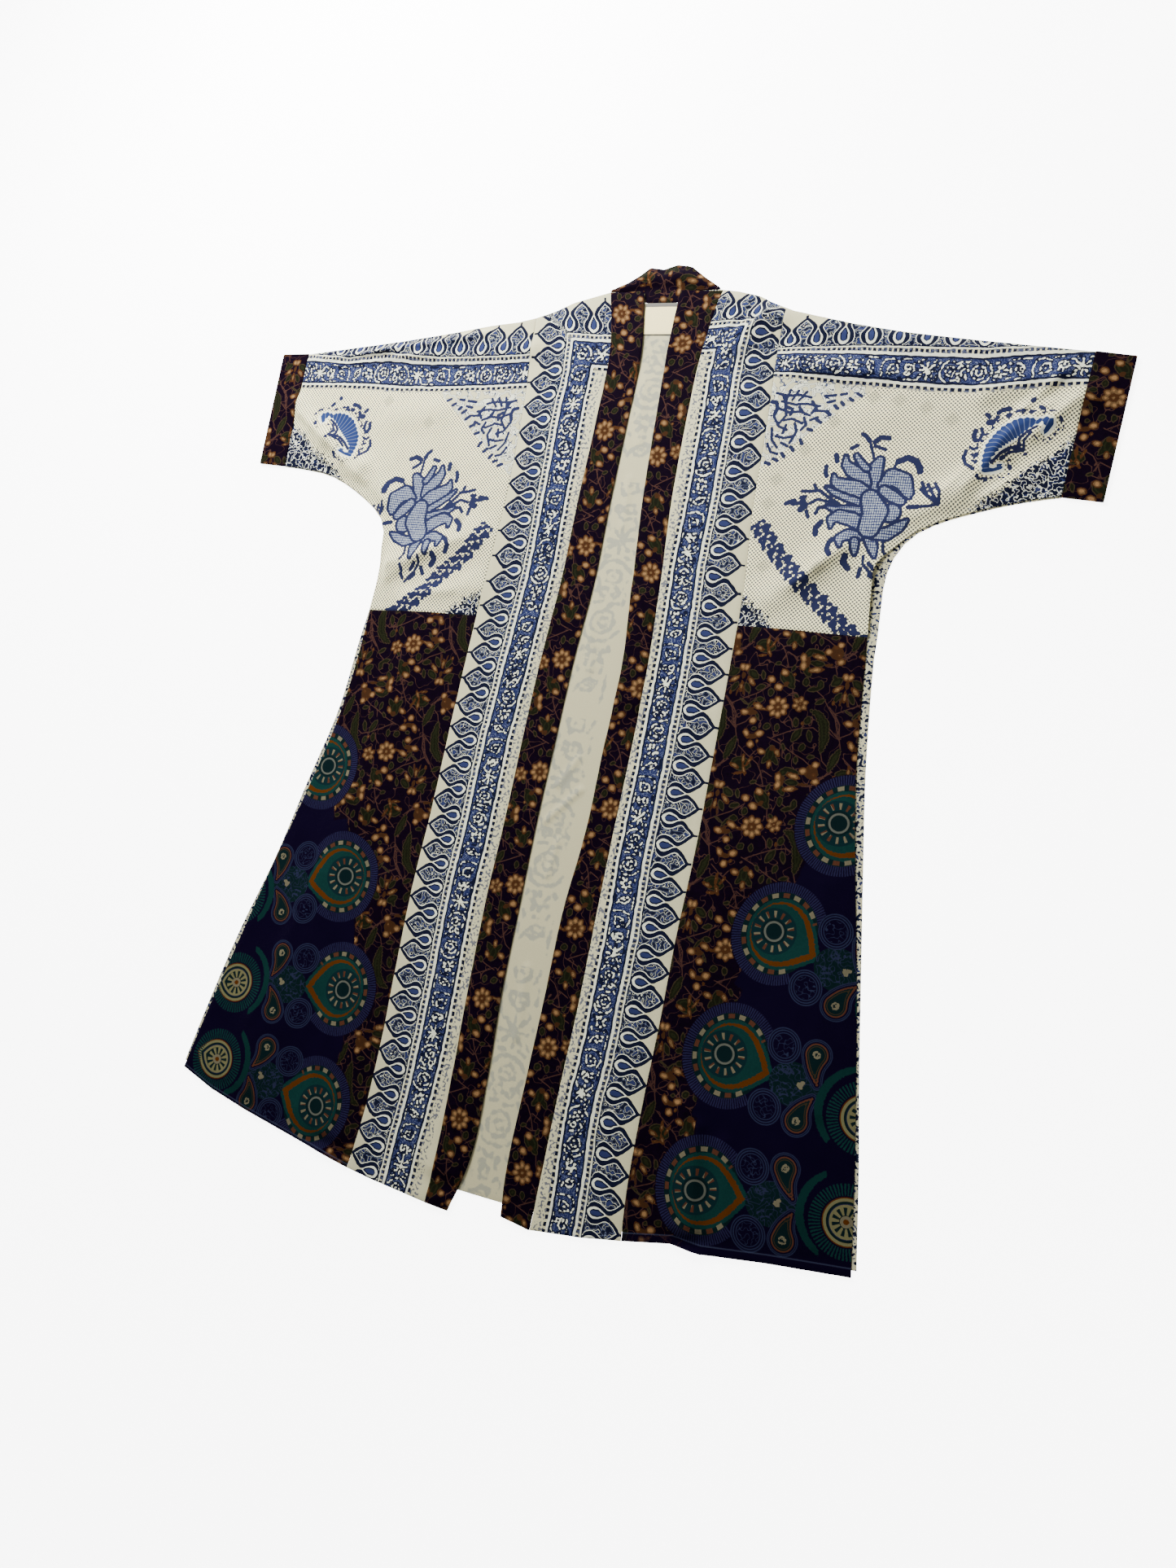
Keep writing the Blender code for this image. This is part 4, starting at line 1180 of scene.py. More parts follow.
# Medallions of the side border. Columns: x, y, turn of the tip from straight outwards in degrees
MEDALLIONS = {
    "left": ((-325, -104, -17), (-262, -237, -18), (-231, -372, -8), (-233, -513, 8)),
    "right": ((325, -81, -22), (276, -207, -22), (246, -345, -12), (242, -489, 3)),
}


def medallion_fields(x, y, side_name):
    """Where each point lies in the frame of its nearest medallion, and the shapes drawn there."""
    outward = OUTWARD[side_name]
    best = np.full(x.shape, np.inf)
    second = np.full(x.shape, np.inf)
    across = np.zeros(x.shape)
    up = np.zeros(x.shape)
    for cx, cy, turn in MEDALLIONS[side_name]:
        lx, ly = turned(outward * (x - cx), y - cy, turn)
        away = np.abs(ly)
        nearer = away < best
        second = np.where(nearer, best, np.minimum(second, away))
        across = np.where(nearer, lx, across)
        up = np.where(nearer, ly, up)
        best = np.where(nearer, away, best)
    rim = np.hypot((across - RIM_MIDDLE[0]) / RIM_SQUEEZE, up - RIM_MIDDLE[1]) - RIM_RADIUS
    inner_edge = np.maximum(-8.0 - across, np.abs(up) - 84.0)
    room = np.minimum(second - best, 60.0)
    flat = {name: stroke_distance(strokes, across, up) for name, strokes in MEDALLION_STROKES.items()}
    flat["drops"] = np.full(x.shape, FAR)
    for round_x, round_y, tip_x, tip_y, radius in DROPS:
        flat["drops"] = np.minimum(
            flat["drops"], drop_distance(across, up, round_x, round_y, tip_x, tip_y, radius))
        eye = np.hypot(across - round_x, up - round_y)
        flat["cream_shapes"] = np.minimum(flat["cream_shapes"], np.abs(eye - 3.2) - 0.9)
    flat["teal_shapes"] = crescent_distance(across, up)
    flat["border_ground"] = np.minimum(rim, inner_edge)
    flat["medallion"] = np.stack([across, up, room], axis=-1)
    return flat


MEDALLION_STROKES = {
    "leaf_lines": (
        (0.8, (66, 18), (70, 15), (76, 14)), (0.8, (68, 13), (72, 11), (72, 16)),
        (0.8, (62, 14), (66, 10), (70, 9)), (0.8, (70, -14), (74, -11), (79, -11)),
        (0.8, (66, -10), (70, -7), (74, -6)),
    ),
    "cream_shapes": (
        (2.4, (85, 4.5), (87.5, 3)), (2, (88, 7), (89, 7.5)), (0.9, (92, 40), (93, 39)),
        (0.9, (97, -30), (98, -31)),
    ),
}
# Columns: middle of the round end, tip, radius
DROPS = ((91, 40, 102, 12, 11.6), (96, -31, 103, -3, 11.6))


def drop_distance(x, y, round_x, round_y, tip_x, tip_y, radius):
    """Signed distance, near enough, to a drop with a round end and a tip."""
    nearest = np.full(np.shape(x), FAR)
    for t in np.linspace(0.0, 1.0, 9):
        bend = 2.6 * math.sin(math.pi * t)
        cx = round_x + (tip_x - round_x) * t - bend
        cy = round_y + (tip_y - round_y) * t
        nearest = np.minimum(nearest, np.hypot(x - cx, y - cy) - radius * (1.0 - 0.9 * t))
    return nearest


def crescent_distance(x, y):
    """Signed distance to the crescent between a medallion and the next one out."""
    outer = np.hypot(x - 153.0, y - 4.0) - 47.0
    inner = 43.0 - np.hypot(x - 157.5, y - 4.0)
    return np.maximum(np.maximum(outer, inner), x - 133.0)


def floral_colour(node, place):
    """Colours of the small flowers on their dark ground."""
    spot = node("TexNoise", place, None, 260.0, 1.0, 0.5)
    rough = node("MapRange", spot, 0.3, 0.7, -0.45, 0.45)
    colour = node("MixRGB", spot, DARK_GROUND, DARK_GROUND_LIT)
    # Thin tendrils that wander between the drawn vines
    tendril = node("COMPARE", node("TexNoise", place, None, 62.0, 1.0, 0.5), 0.5, 0.008)
    vine = node("COMPARE", node("Attribute vine_sides", out=2), 0.0, 0.62)
    vine = node("MULTIPLY", vine, node("LESS_THAN", node("Attribute vines", out=2), 1.7))
    vine = node("MAXIMUM", vine, tendril)
    colour = node("MixRGB", vine, colour, VINE)
    for name, layers in (
            ("leaves", ((0.4, LEAF_RIM), (-0.75, OLIVE), (-2.6, OLIVE_LIT), (-4.3, OLIVE))),
            ("browns", ((-0.2, BROWN),)),
            ("petals", ((0.7, RUST), (-0.5, TAN), (-1.7, TAN_LIT)))):
        field = node("ADD", node("Attribute " + name, out=2), rough)
        for level, code in layers:
            colour = node("MixRGB", node("LESS_THAN", field, level), colour, code)
    return colour


def ring_of(node, wave, level, radius, middle, half):
    """Marks all round a ring, where a wave round it is above a level."""
    marks = node("GREATER_THAN", wave, level)
    return node("MULTIPLY", marks, node("COMPARE", radius, middle, half))


def pointed(node, radius, turn, sharpness, reach, size):
    """Distance from the middle of a round form that is drawn out to a tip."""
    pull = node("EXPONENT", node("MULTIPLY", turn, -sharpness))
    return node("DIVIDE", radius, node("MULTIPLY_ADD", pull, reach, size))


def skirt_colour(node, place):
    """The floral, and the side border's medallions on their navy ground."""
    floral = floral_colour(node, place)
    spot = node("TexNoise", place, None, 420.0, 1.0, 0.5)
    rough = node("MapRange", spot, 0.3, 0.7, -0.6, 0.6)
    ground = node("MapRange", node("Attribute border_ground", out=2), 0.5, -1.5, 0.0, 1.0)
    colour = node("MixRGB", ground, floral, MEDALLION_GROUND)
    where = node("Attribute medallion", out=1)
    across, up, room = node("SeparateXYZ", where, out=None)
    inside_group = node("GREATER_THAN", room, 3.5)

    # Rings about the medallion: rim spikes, beads, and the drop with its orange crescent
    ex = node("DIVIDE", node("SUBTRACT", across, RIM_MIDDLE[0]), RIM_SQUEEZE)
    ey = node("SUBTRACT", up, RIM_MIDDLE[1])
    turn = node("ARCTAN2", ey, ex)
    radius = node("VectorMath LENGTH", node("CombineXYZ", ex, ey, 0.0), out=1)
    open_angle = node("ABSOLUTE", turn)
    spikes = node("MULTIPLY_ADD", turn, SPIKES, rough)
    spikes = ring_of(node, node("SINE", spikes), -0.15, radius, *SPIKE_RING)
    clear_of_circles = node("GREATER_THAN", open_angle, 0.72)
    spikes = node("MULTIPLY", spikes, clear_of_circles)
    drop = node("ADD", pointed(node, radius, open_angle, 2.4, 0.5, 1.0), rough)
    low_edge = node("SUBTRACT", DROP_EDGE, node("MapRange", open_angle, 0.6, 2.9, 6.0, 0.6))
    orange = node("GREATER_THAN", drop, low_edge)
    orange = node("MULTIPLY", orange, node("LESS_THAN", drop, DROP_EDGE))
    teal = node("LESS_THAN", drop, 38.4)
    teal_green = node("MixRGB", spot, TEAL, TEAL_LIT)
    bead_turn = node("MULTIPLY_ADD", turn, BEADS / WHOLE_TURN, 0.3)
    bead = ring_of(node, node("PINGPONG", bead_turn, 0.5), 0.21, radius, *BEAD_RING)
    bead = node("MULTIPLY", bead, clear_of_circles)
    other = node("LESS_THAN", node("FRACT", node("MULTIPLY", bead_turn, 0.5)), 0.5)
    bead_colour = node("MixRGB", other, BEAD_CREAM, BRICK)
    middle = node("CombineXYZ", across, up, 0.0)
    core = node("VectorMath LENGTH", middle, out=1)
    tick = node("MULTIPLY", node("ARCTAN2", up, across), TICKS / WHOLE_TURN)
    tick = ring_of(node, node("PINGPONG", tick, 0.5), 0.33, core, *TICK_RING)
    eye_colour = node("ValToRGB", node("MapRange", core, 0.0, 50.0, 0.0, 1.0), points=[
        (0.0, DEEP_TEAL), (0.175, RING_CREAM), (0.222, DEEP_TEAL), (0.27, SEA_BLUE), (0.50, TEAL)])
    eye = node("LESS_THAN", core, 25.0)
    bed = node("LESS_THAN", radius, 45.6)
    colour = laid_over(node, colour, inside_group, (
        (bed, DEEP_TEAL), (spikes, RING_BLUE), (teal, teal_green), (orange, ORANGE),
        (bead, bead_colour), (eye, eye_colour), (tick, bead_colour)))

    # The next medallion out, about its own middle
    far = node("VectorMath SUBTRACT", middle, NEXT_MEDALLION)
    far_x, far_y = node("SeparateXYZ", far, out=None)[:2]
    far_radius = node("VectorMath LENGTH", far, out=1)
    far_turn = node("ARCTAN2", far_y, far_x)
    seeds = node("MULTIPLY", far_turn, SEEDS / WHOLE_TURN)
    seeds = ring_of(node, node("PINGPONG", seeds, 0.5), 0.24, far_radius, *SEED_RING)
    barbs = node("MULTIPLY_ADD", far_turn, BARBS, rough)
    barbs = ring_of(node, node("SINE", barbs), -0.1, far_radius, *BARB_RING)
    far_drop = pointed(node, far_radius, node("ABSOLUTE", far_turn), 2.0, 0.34, 0.97)
    far_share = node("MapRange", far_drop, 0.0, 50.0, 0.0, 1.0)
    far_colour = node("ValToRGB", far_share, points=[(x / 50, code) for x, code in (
        (0.0, ORANGE), (2.6, BEAD_CREAM), (6.0, DEEP_TEAL), (14.4, PALE_RING), (17.0, RING_BLUE),
        (17.8, DEEP_TEAL), (20.2, PALE_RING), (23.4, ORANGE), (24.6, MEDALLION_GROUND))])
    far_disc = node("LESS_THAN", far_drop, 25.5)

    # Scribbled ground between the tip and the drops, and two ringed discs beside it
    line = node("COMPARE", node("TexNoise", place, None, 210.0, 0.0, 0.5), 0.5, 0.032)
    web_x = node("DIVIDE", node("SUBTRACT", across, 80.0), 27.0)
    web = node("CombineXYZ", web_x, node("DIVIDE", node("SUBTRACT", up, 2.0), 23.0), 0.0)
    web = node("LESS_THAN", node("VectorMath LENGTH", web, out=1), 1.0)
    web_colour = node("MixRGB", line, DEEP_TEAL, LINE_BLUE)
    disc_y = node("SUBTRACT", node("ABSOLUTE", node("SUBTRACT", up, 1.5)), 33.5)
    disc_x = node("SUBTRACT", node("MULTIPLY_ADD", up, 0.06, across), 58.1)
    disc = node("VectorMath LENGTH", node("CombineXYZ", disc_x, disc_y, 0.0), out=1)
    disc_share = node("MapRange", disc, 0.0, 25.0, 0.0, 1.0)
    rings = node("ValToRGB", disc_share, points=[(x / 25, code) for x, code in (
        (0.0, MEDALLION_GROUND), (12.2, LINE_BLUE), (13.2, MEDALLION_GROUND), (14.7, LINE_BLUE),
        (16.1, MEDALLION_GROUND), (17.1, LINE_BLUE))])
    scribble = node("MULTIPLY", node("LESS_THAN", disc, 11.4), line)
    rings = node("MixRGB", scribble, rings, LINE_BLUE)
    ringed = node("LESS_THAN", disc, 18.5)
    drops = node("Attribute drops", out=2)
    drop_area = node("LESS_THAN", drops, 4.6)
    drop_share = node("MapRange", drops, -15.0, 5.0, 0.0, 1.0)
    drop_colour = node("ValToRGB", drop_share, points=[((x + 15) / 20, code) for x, code in (
        (-15.0, DEEP_TEAL), (-3.4, LEAF_RIM), (-2.5, DEEP_TEAL), (-1.4, BRICK), (0.3, MEDALLION_GROUND),
        (1.8, LINE_BLUE), (2.8, MEDALLION_GROUND), (3.4, LINE_BLUE))])
    layers = [(far_disc, far_colour), (seeds, PALE_RING), (barbs, teal_green),
              (web, web_colour), (ringed, rings), (drop_area, drop_colour)]
    for name, code in (("teal_shapes", TEAL), ("leaf_lines", LINE_BLUE), ("cream_shapes", BEAD_CREAM)):
        field = node("ADD", node("Attribute " + name, out=2), rough)
        layers.append((node("LESS_THAN", field, 0.1), code))
    colour = laid_over(node, colour, inside_group, layers)

    # The turned hem, darker below its line of stitches
    hem = node("Attribute hem", out=2)
    colour = node("MixRGB", node("MapRange", hem, 8.6, 7.4, 0.0, 0.6), colour, MEDALLION_GROUND)
    stitches = node("MULTIPLY", node("COMPARE", hem, 8.8, 0.75), 0.3)
    return node("MixRGB", stitches, colour, SLATE)


# Yoke print. Lower and upper edges of the sleeve's blue band, as points x, y on the right side
SLEEVE_BAND = {
    "left": (
        ((160, 424), (200, 421), (250, 419), (300, 417.5), (340, 417.5), (370, 419), (400, 420.5),
         (505, 421)),
        ((160, 452), (200, 449), (250, 447), (300, 446), (335, 447), (370, 451), (400, 450), (440, 447),
         (505, 452)),
    ),
    "right": (
        ((163, 441), (250, 433), (345, 428), (400, 425.5), (450, 431), (480, 433), (505, 435)),
        ((163, 463), (250, 463), (345, 460), (400, 458), (450, 462.5), (480, 464.5), (505, 466)),
    ),
}
# Where the sleeve band's run of motifs starts again, as distance from the middle
SLEEVE_RUNS = {
    "left": (128, 285, 442, 600),
    "right": (131, 294, 457, 620),
}
SLEEVE_BUD = 172.0
# The same motifs on the back's inside, so many times as large
BACK_PRINT_SCALE = 1.9
# How far the ink spreads past a drawn stroke
INK_SPREAD = 0.5
PETAL_SPREAD = 1.2
# How each drawn group moves to the other side: its middle there and here, and its turn in degrees
LEFT_PLACES = {
    "flower": (-277.0, 250.0, 298.0, 291.0, 17.0),
    "comb": (-427.0, 348.0, 444.0, 358.0, 0.0),
    "corner": (-200.0, 385.0, 198.0, 400.0, 0.0),
}
# Petals of the lotus, each a chain of points x, y and half width
LOTUS = (
    ((299, 292, 5), (297, 306, 8), (297, 322, 8), (301, 334, 4)),
    ((308, 305, 4), (318, 315, 9), (330, 311, 9), (338, 297, 5), (340, 291, 1)),
    ((311, 299, 5), (322, 292, 6), (332, 286, 4)), ((323, 271.5, 10),),
    ((262, 338, 1), (264, 328, 4), (272, 321, 6.5), (284, 315, 7), (290, 306, 5)),
    ((274, 339, 2), (281, 330, 3), (288, 324, 3)),
    ((252, 315, 1), (255, 307, 4), (266, 302, 8), (280, 299, 9), (290, 295, 7)),
    ((246, 300, 1), (256, 294, 2.6), (269, 289, 3.2), (285, 284, 3.4)),
    ((250, 277, 1), (260, 274, 3), (272, 274, 4), (287, 274, 4)),
    ((259, 252, 1), (258, 262, 4), (266, 266, 6.5), (280, 263, 7.5), (292, 258, 7)),
    ((274, 228, 1), (271, 238, 4), (280, 243, 6), (292, 243, 5)),
    ((289, 236, 4), (290, 227, 3), (291, 221, 1)), ((303, 243, 5), (309, 232, 5), (313, 220, 1)),
    ((308, 246, 5), (322, 247, 6), (334, 256, 5), (342, 264, 1)),
    ((297, 289, 9), (306, 272, 13), (302, 254, 11)),
)
# Leaves, stems and buds about it. Columns: half width, then points
LOTUS_INK = (
    (0.9, (294, 337), (288, 352), (285, 360)), (1.9, (277, 364.5), (282, 362), (286, 357)),
    (2.2, (292, 356), (298, 361.5), (307, 361)), (1.2, (293, 351.5), (305, 347.5)),
    (1.6, (267, 347.5), (273, 351)), (0.9, (318, 325), (320, 332)),
    (3, (322, 334), (331, 338.5), (341, 335), (346, 327), (347, 323)), (2.2, (251, 339), (253, 332)),
    (1.8, (242, 325), (242, 318), (244, 313)),
    (1.2, (219, 294), (228, 294), (239, 295.5), (250, 288), (264, 280)), (1.3, (232, 302), (235, 297)),
    (1.1, (230, 279.5), (239, 285), (253, 282), (264, 277)), (3.2, (222, 281), (225, 276), (221, 272)),
    (2, (203, 278), (212, 282)), (1.6, (210, 278), (217, 279)), (1.5, (219, 286), (224, 287)),
    (1.5, (228, 270), (231, 263)), (1.4, (239, 268), (241.5, 275), (248, 276)),
    (2.6, (243, 243), (242, 250), (247, 258)), (2.2, (264, 217.5), (259.5, 225), (261, 233), (264, 237)),
    (2.8, (286, 205), (280, 211), (281.5, 218)), (0.9, (301, 220), (302, 211), (310, 202), (326, 191)),
    (1.8, (299, 196), (300, 205)), (1.5, (308, 212), (315, 205)), (1.7, (311, 198), (318, 194)),
    (0.9, (320, 238), (321.5, 227), (328, 221)), (2, (341, 279), (351, 280)),
    (1, (351, 280), (362, 281), (370, 283)), (1.1, (372, 283), (359, 294), (351, 310)),
    (1, (372, 284), (364, 297), (358, 308)), (1.1, (373, 284), (372, 297), (365.5, 309)),
    (0.7, (354, 302), (358, 304)), (0.7, (360, 300), (366, 303)), (1.2, (351, 302), (360, 292)),
    (0.8, (303, 284), (313, 279), (314, 268), (308, 259)), (0.8, (318, 276), (327, 276)),
    (0.8, (317, 270), (328, 269)), (1.5, (328, 214), (327, 207)), (1.5, (329, 203), (328, 197)),
)
# Outline of the blue comb on the sleeve, and the middle of its white ribs
COMB = (
    (411.9, 323.5), (410.5, 339.8), (412, 354.5), (419.3, 367.8), (426.7, 378), (440, 385.5),
    (453.3, 387), (461, 384.5), (469.5, 387.7), (477, 385.5), (479.8, 379.6), (475.4, 372), (471, 368.6),
    (467.3, 371.5), (469.5, 376.7), (467.3, 381), (460.7, 378), (453, 372), (446, 363.4), (437, 354.5),
    (428, 345.7), (421, 336.8), (419.3, 329.4), (423.8, 328), (428, 332.4), (433.3, 332.4),
    (433.3, 326.5), (423.8, 322.8), (415, 321.5),
)
RIB_MIDDLE = (457.0, 338.0)
RIBS = 46
# Half width of the greyer squares where the ground's dots overlap, and how softly they end
OVERLAP_HALF = 8.0
OVERLAP_FADE = 3.0
# The corner drawing lies above this line, and ends before the border
CORNER_START = (165.0, 321.0)
CORNER_SLOPE = 0.857
CORNER_END = -8.0
COMB_INK = (
    (0.7, (452, 349), (446, 352), (446, 361), (453, 370), (462, 376)),
    (0.6, (452, 350), (451, 360), (457, 369)), (0.8, (450, 349), (439, 350), (429, 342), (421, 333)),
    (0.6, (448, 348), (438, 345), (430, 337)), (1.2, (454, 345.5), (454.5, 346)),
    (1.6, (408, 392), (411, 389)), (2.8, (412, 382.5), (415, 382.5)), (1.5, (418, 386), (420, 389)),
    (1.7, (420, 394), (421, 395)), (1.8, (423.5, 397), (425, 398)), (2.2, (429, 398.5), (430.5, 399)),
    (2, (430.5, 391), (432, 392)), (1.2, (439, 395), (441, 395)), (1, (445, 395), (447, 394.5)),
    (2.2, (454, 407.5), (454.5, 408)), (1.5, (463, 400), (466, 397)),
    (1.8, (399, 373), (398, 366), (400, 361)), (1.2, (405, 375), (407, 369), (405, 363)),
    (1.2, (401, 360), (404, 361)), (1.3, (392.7, 348.6), (390.6, 341), (394, 332.4), (403, 325)),
    (0.8, (396, 353), (400, 350), (404, 352)), (0.8, (399, 344), (404, 342)),
    (0.8, (401, 336), (405, 333)),
)
# Feathery corner under the sleeve band, inside the triangle it fills
CORNER = (
    (0.8, (168, 414), (182, 411), (196, 412), (210, 409)),
    (0.8, (176, 404), (192, 400), (206, 401), (222, 398)),
    (0.8, (172, 396), (186, 390), (200, 391), (212, 386)), (0.8, (182, 380), (192, 382), (205, 376)),
    (0.8, (170, 384), (178, 372), (188, 368)), (0.8, (176, 360), (186, 358), (194, 360)),
    (0.8, (170, 370), (172, 356), (180, 346)), (0.8, (168, 350), (174, 340), (182, 338)),
    (0.8, (184, 418), (180, 402), (184, 386), (176, 374)), (0.8, (194, 417), (188, 406)),
    (0.7, (204, 416), (196, 405)), (1.6, (164, 403), (170, 402), (172, 395), (170, 387)),
    (1.2, (176, 412), (180, 405)), (1.1, (198, 397), (203, 390)),
    (1.1, (212, 404), (218, 396), (214, 389)), (1.2, (183, 397), (190, 394), (189, 387)),
    (1, (226, 411), (238, 412)), (1, (244, 413), (250, 414)), (1.1, (230, 403), (238, 405)),
    (0.9, (206, 383), (210, 374), (205, 368)), (0.9, (196, 376), (200, 366), (194, 352)),
    (0.9, (184, 352), (192, 348)), (0.8, (214, 380), (222, 384)), (0.8, (218, 392), (228, 392)),
    (0.9, (186, 374), (184, 364)), (1.4, (246, 403), (249, 400)), (1.4, (239, 399), (243, 395)),
    (1.4, (231, 391), (236, 387)), (1.4, (222, 380), (227, 377)), (1.3, (213, 369), (218, 367)),
    (1.4, (206, 356), (209, 351)), (1.4, (196, 347), (200, 343)), (1.4, (187, 339), (190, 335)),
    (1.3, (178, 332), (183, 330)), (1.4, (170, 327), (175, 325)), (1.2, (255, 408), (259, 405)),
    (1.1, (263, 414), (268, 411)),
)
# Middle line of the flowered strip that runs down to the side seam
FLOWER_STRIP = {
    "left": ((-172, 227), (-202, 181), (-223, 162), (-241, 136), (-275, 108), (-320, 80)),
    "right": ((175, 251), (190, 232), (207, 213), (237, 183), (262, 162), (287, 140), (320, 115)),
}
# Upper edges of the speckled corners at the underarm and at the waist, as points x, y
SPECKLED = {
    "left": (
        ((-512, 365), (-498, 352), (-480, 345), (-470, 331), (-455, 320), (-430, 304), (-412, 288),
         (-400, 270)),
        ((-215, 100), (-207, 108), (-185, 128), (-160, 144)),
    ),
    "right": (
        ((400, 270), (412, 284), (416, 290), (433, 300), (446, 313), (455, 324), (469, 338), (483, 347),
         (496, 365), (505, 372)),
        ((168, 166), (190, 150), (214, 130), (222, 120)),
    ),
}
# Where two impressions of the dotted ground overlap and look grey, on both sides
OVERLAPS = {
    "left": ((-291, 365), (-214, 236), (-240, 300), (-360, 395)),
    "right": (
        (282, 410), (311, 407), (342, 399), (242, 379), (214, 344), (187, 307), (182, 277), (190, 201),
        (254, 201), (372, 385),
    ),
}


def chain_distance(chain, x, y):
    """Signed distance to a tapered form along points x, y and half width."""
    nearest = np.full(np.shape(x), FAR)
    chain = np.array(chain, dtype=float)
    for at in np.linspace(0.0, len(chain) - 1.0, 6 * len(chain) - 5):
        cx, cy, half = [np.interp(at, np.arange(len(chain)), chain[:, k]) for k in range(3)]
        nearest = np.minimum(nearest, np.hypot(x - cx, y - cy) - half)
    return nearest


def drawn_place(x, y, side_name, group):
    """Points of one side in the coordinates in which a group is drawn."""
    if side_name == "right":
        return x, y
    here_x, here_y, there_x, there_y, turn = LEFT_PLACES[group]
    along, up = turned(x - here_x, y - here_y, turn)
    return there_x - along, there_y + up


def flower_strip_strokes(side_name):
    """Small leaves and buds strung along the flowered strip."""
    points = path(FLOWER_STRIP[side_name], 34)
    step = np.gradient(points, axis=0)
    step /= np.hypot(*step.T)[:, None]
    across = np.column_stack([-step[:, 1], step[:, 0]])
    strokes = []
    for k, (middle, forward, over) in enumerate(zip(points, step, across)):
        for out in (-7.6, -3.0, 2.6, 7.2):
            wave = math.sin(2.3 * k + 1.7 * out)
            start = middle + over * (out + 0.9 * wave) + forward * 1.2 * wave
            lean = forward * (1.6 + 0.8 * wave) + over * (0.5 * out * 0.35 + wave)
            strokes.append((1.5 + 0.4 * wave, tuple(start - 0.5 * lean), tuple(start + 0.8 * lean)))
    return strokes


def yoke_fields(plan, side_name):
    """Everything that the yoke's print draws, as signed distances and places."""
    x, y = np.moveaxis(plan, 2, 0)
    away = np.abs(x)
    lower, upper = (np.interp(away, *np.array(row, dtype=float).T) for row in SLEEVE_BAND[side_name])
    across = (y - lower) * BLUE_BAND / (upper - lower)
    runs = np.array(SLEEVE_RUNS[side_name], dtype=float)
    run = np.interp(away, runs, SCROLL_LENGTH * np.arange(len(runs))) % SCROLL_LENGTH
    run = np.where(run > SCROLL_LENGTH - SCROLL_LEAD, run - SCROLL_LENGTH, run)
    fx, fy = drawn_place(x, y, side_name, "flower")
    kx, ky = drawn_place(x, y, side_name, "comb")
    cx, cy = drawn_place(x, y, side_name, "corner")
    ink = np.minimum(stroke_distance(LOTUS_INK, fx, fy), stroke_distance(COMB_INK, kx, ky))
    ink = np.minimum(ink, stroke_distance(CORNER, cx, cy))
    ink = np.minimum(ink, stroke_distance(flower_strip_strokes(side_name), x, y))
    ink = ink - INK_SPREAD
    wash = np.full(x.shape, FAR)
    for petal in LOTUS:
        form = chain_distance(petal, fx, fy) - PETAL_SPREAD
        # A petal hides what lies under it, so its own outline comes on top
        ink = np.where(form < 0.0, np.abs(form) - 1.25, np.minimum(ink, np.abs(form) - 1.25))
        wash = np.minimum(wash, form)
    comb = to_loop(COMB, kx, ky) * np.where(inside(COMB, kx, ky), -1.0, 1.0)
    ribs = np.degrees(np.arctan2(ky - RIB_MIDDLE[1], RIB_MIDDLE[0] - kx))
    speckled = np.full(x.shape, FAR)
    for row in SPECKLED[side_name]:
        row = np.array(row, dtype=float)
        edge_y = np.interp(x, row[:, 0], row[:, 1])
        outside = np.maximum(row[0, 0] - x, x - row[-1, 0])
        speckled = np.minimum(speckled, np.maximum((y - edge_y) * 0.75, outside))
    overlap = np.zeros(x.shape)
    for px, py in OVERLAPS[side_name]:
        square = np.maximum(np.abs(x - px + y - py), np.abs(x - px - y + py)) / 1.414
        overlap = np.maximum(overlap, np.clip((OVERLAP_HALF - square) / OVERLAP_FADE, 0.0, 1.0))
    corner_line = CORNER_START[1] + CORNER_SLOPE * (cx - CORNER_START[0])
    in_corner = (cy > corner_line) & (across < CORNER_END)
    overlap = np.where(in_corner, -1.0, overlap)
    return {
        "border": np.stack([across, (away - SLEEVE_BUD) / BUD_PITCH, away], axis=2),
        "scroll": stroke_distance(BAND_STROKES, across, run),
        "motifs": np.stack([ink, wash, comb], axis=2),
        "grounds": np.stack([speckled, ribs, overlap], axis=2),
    }


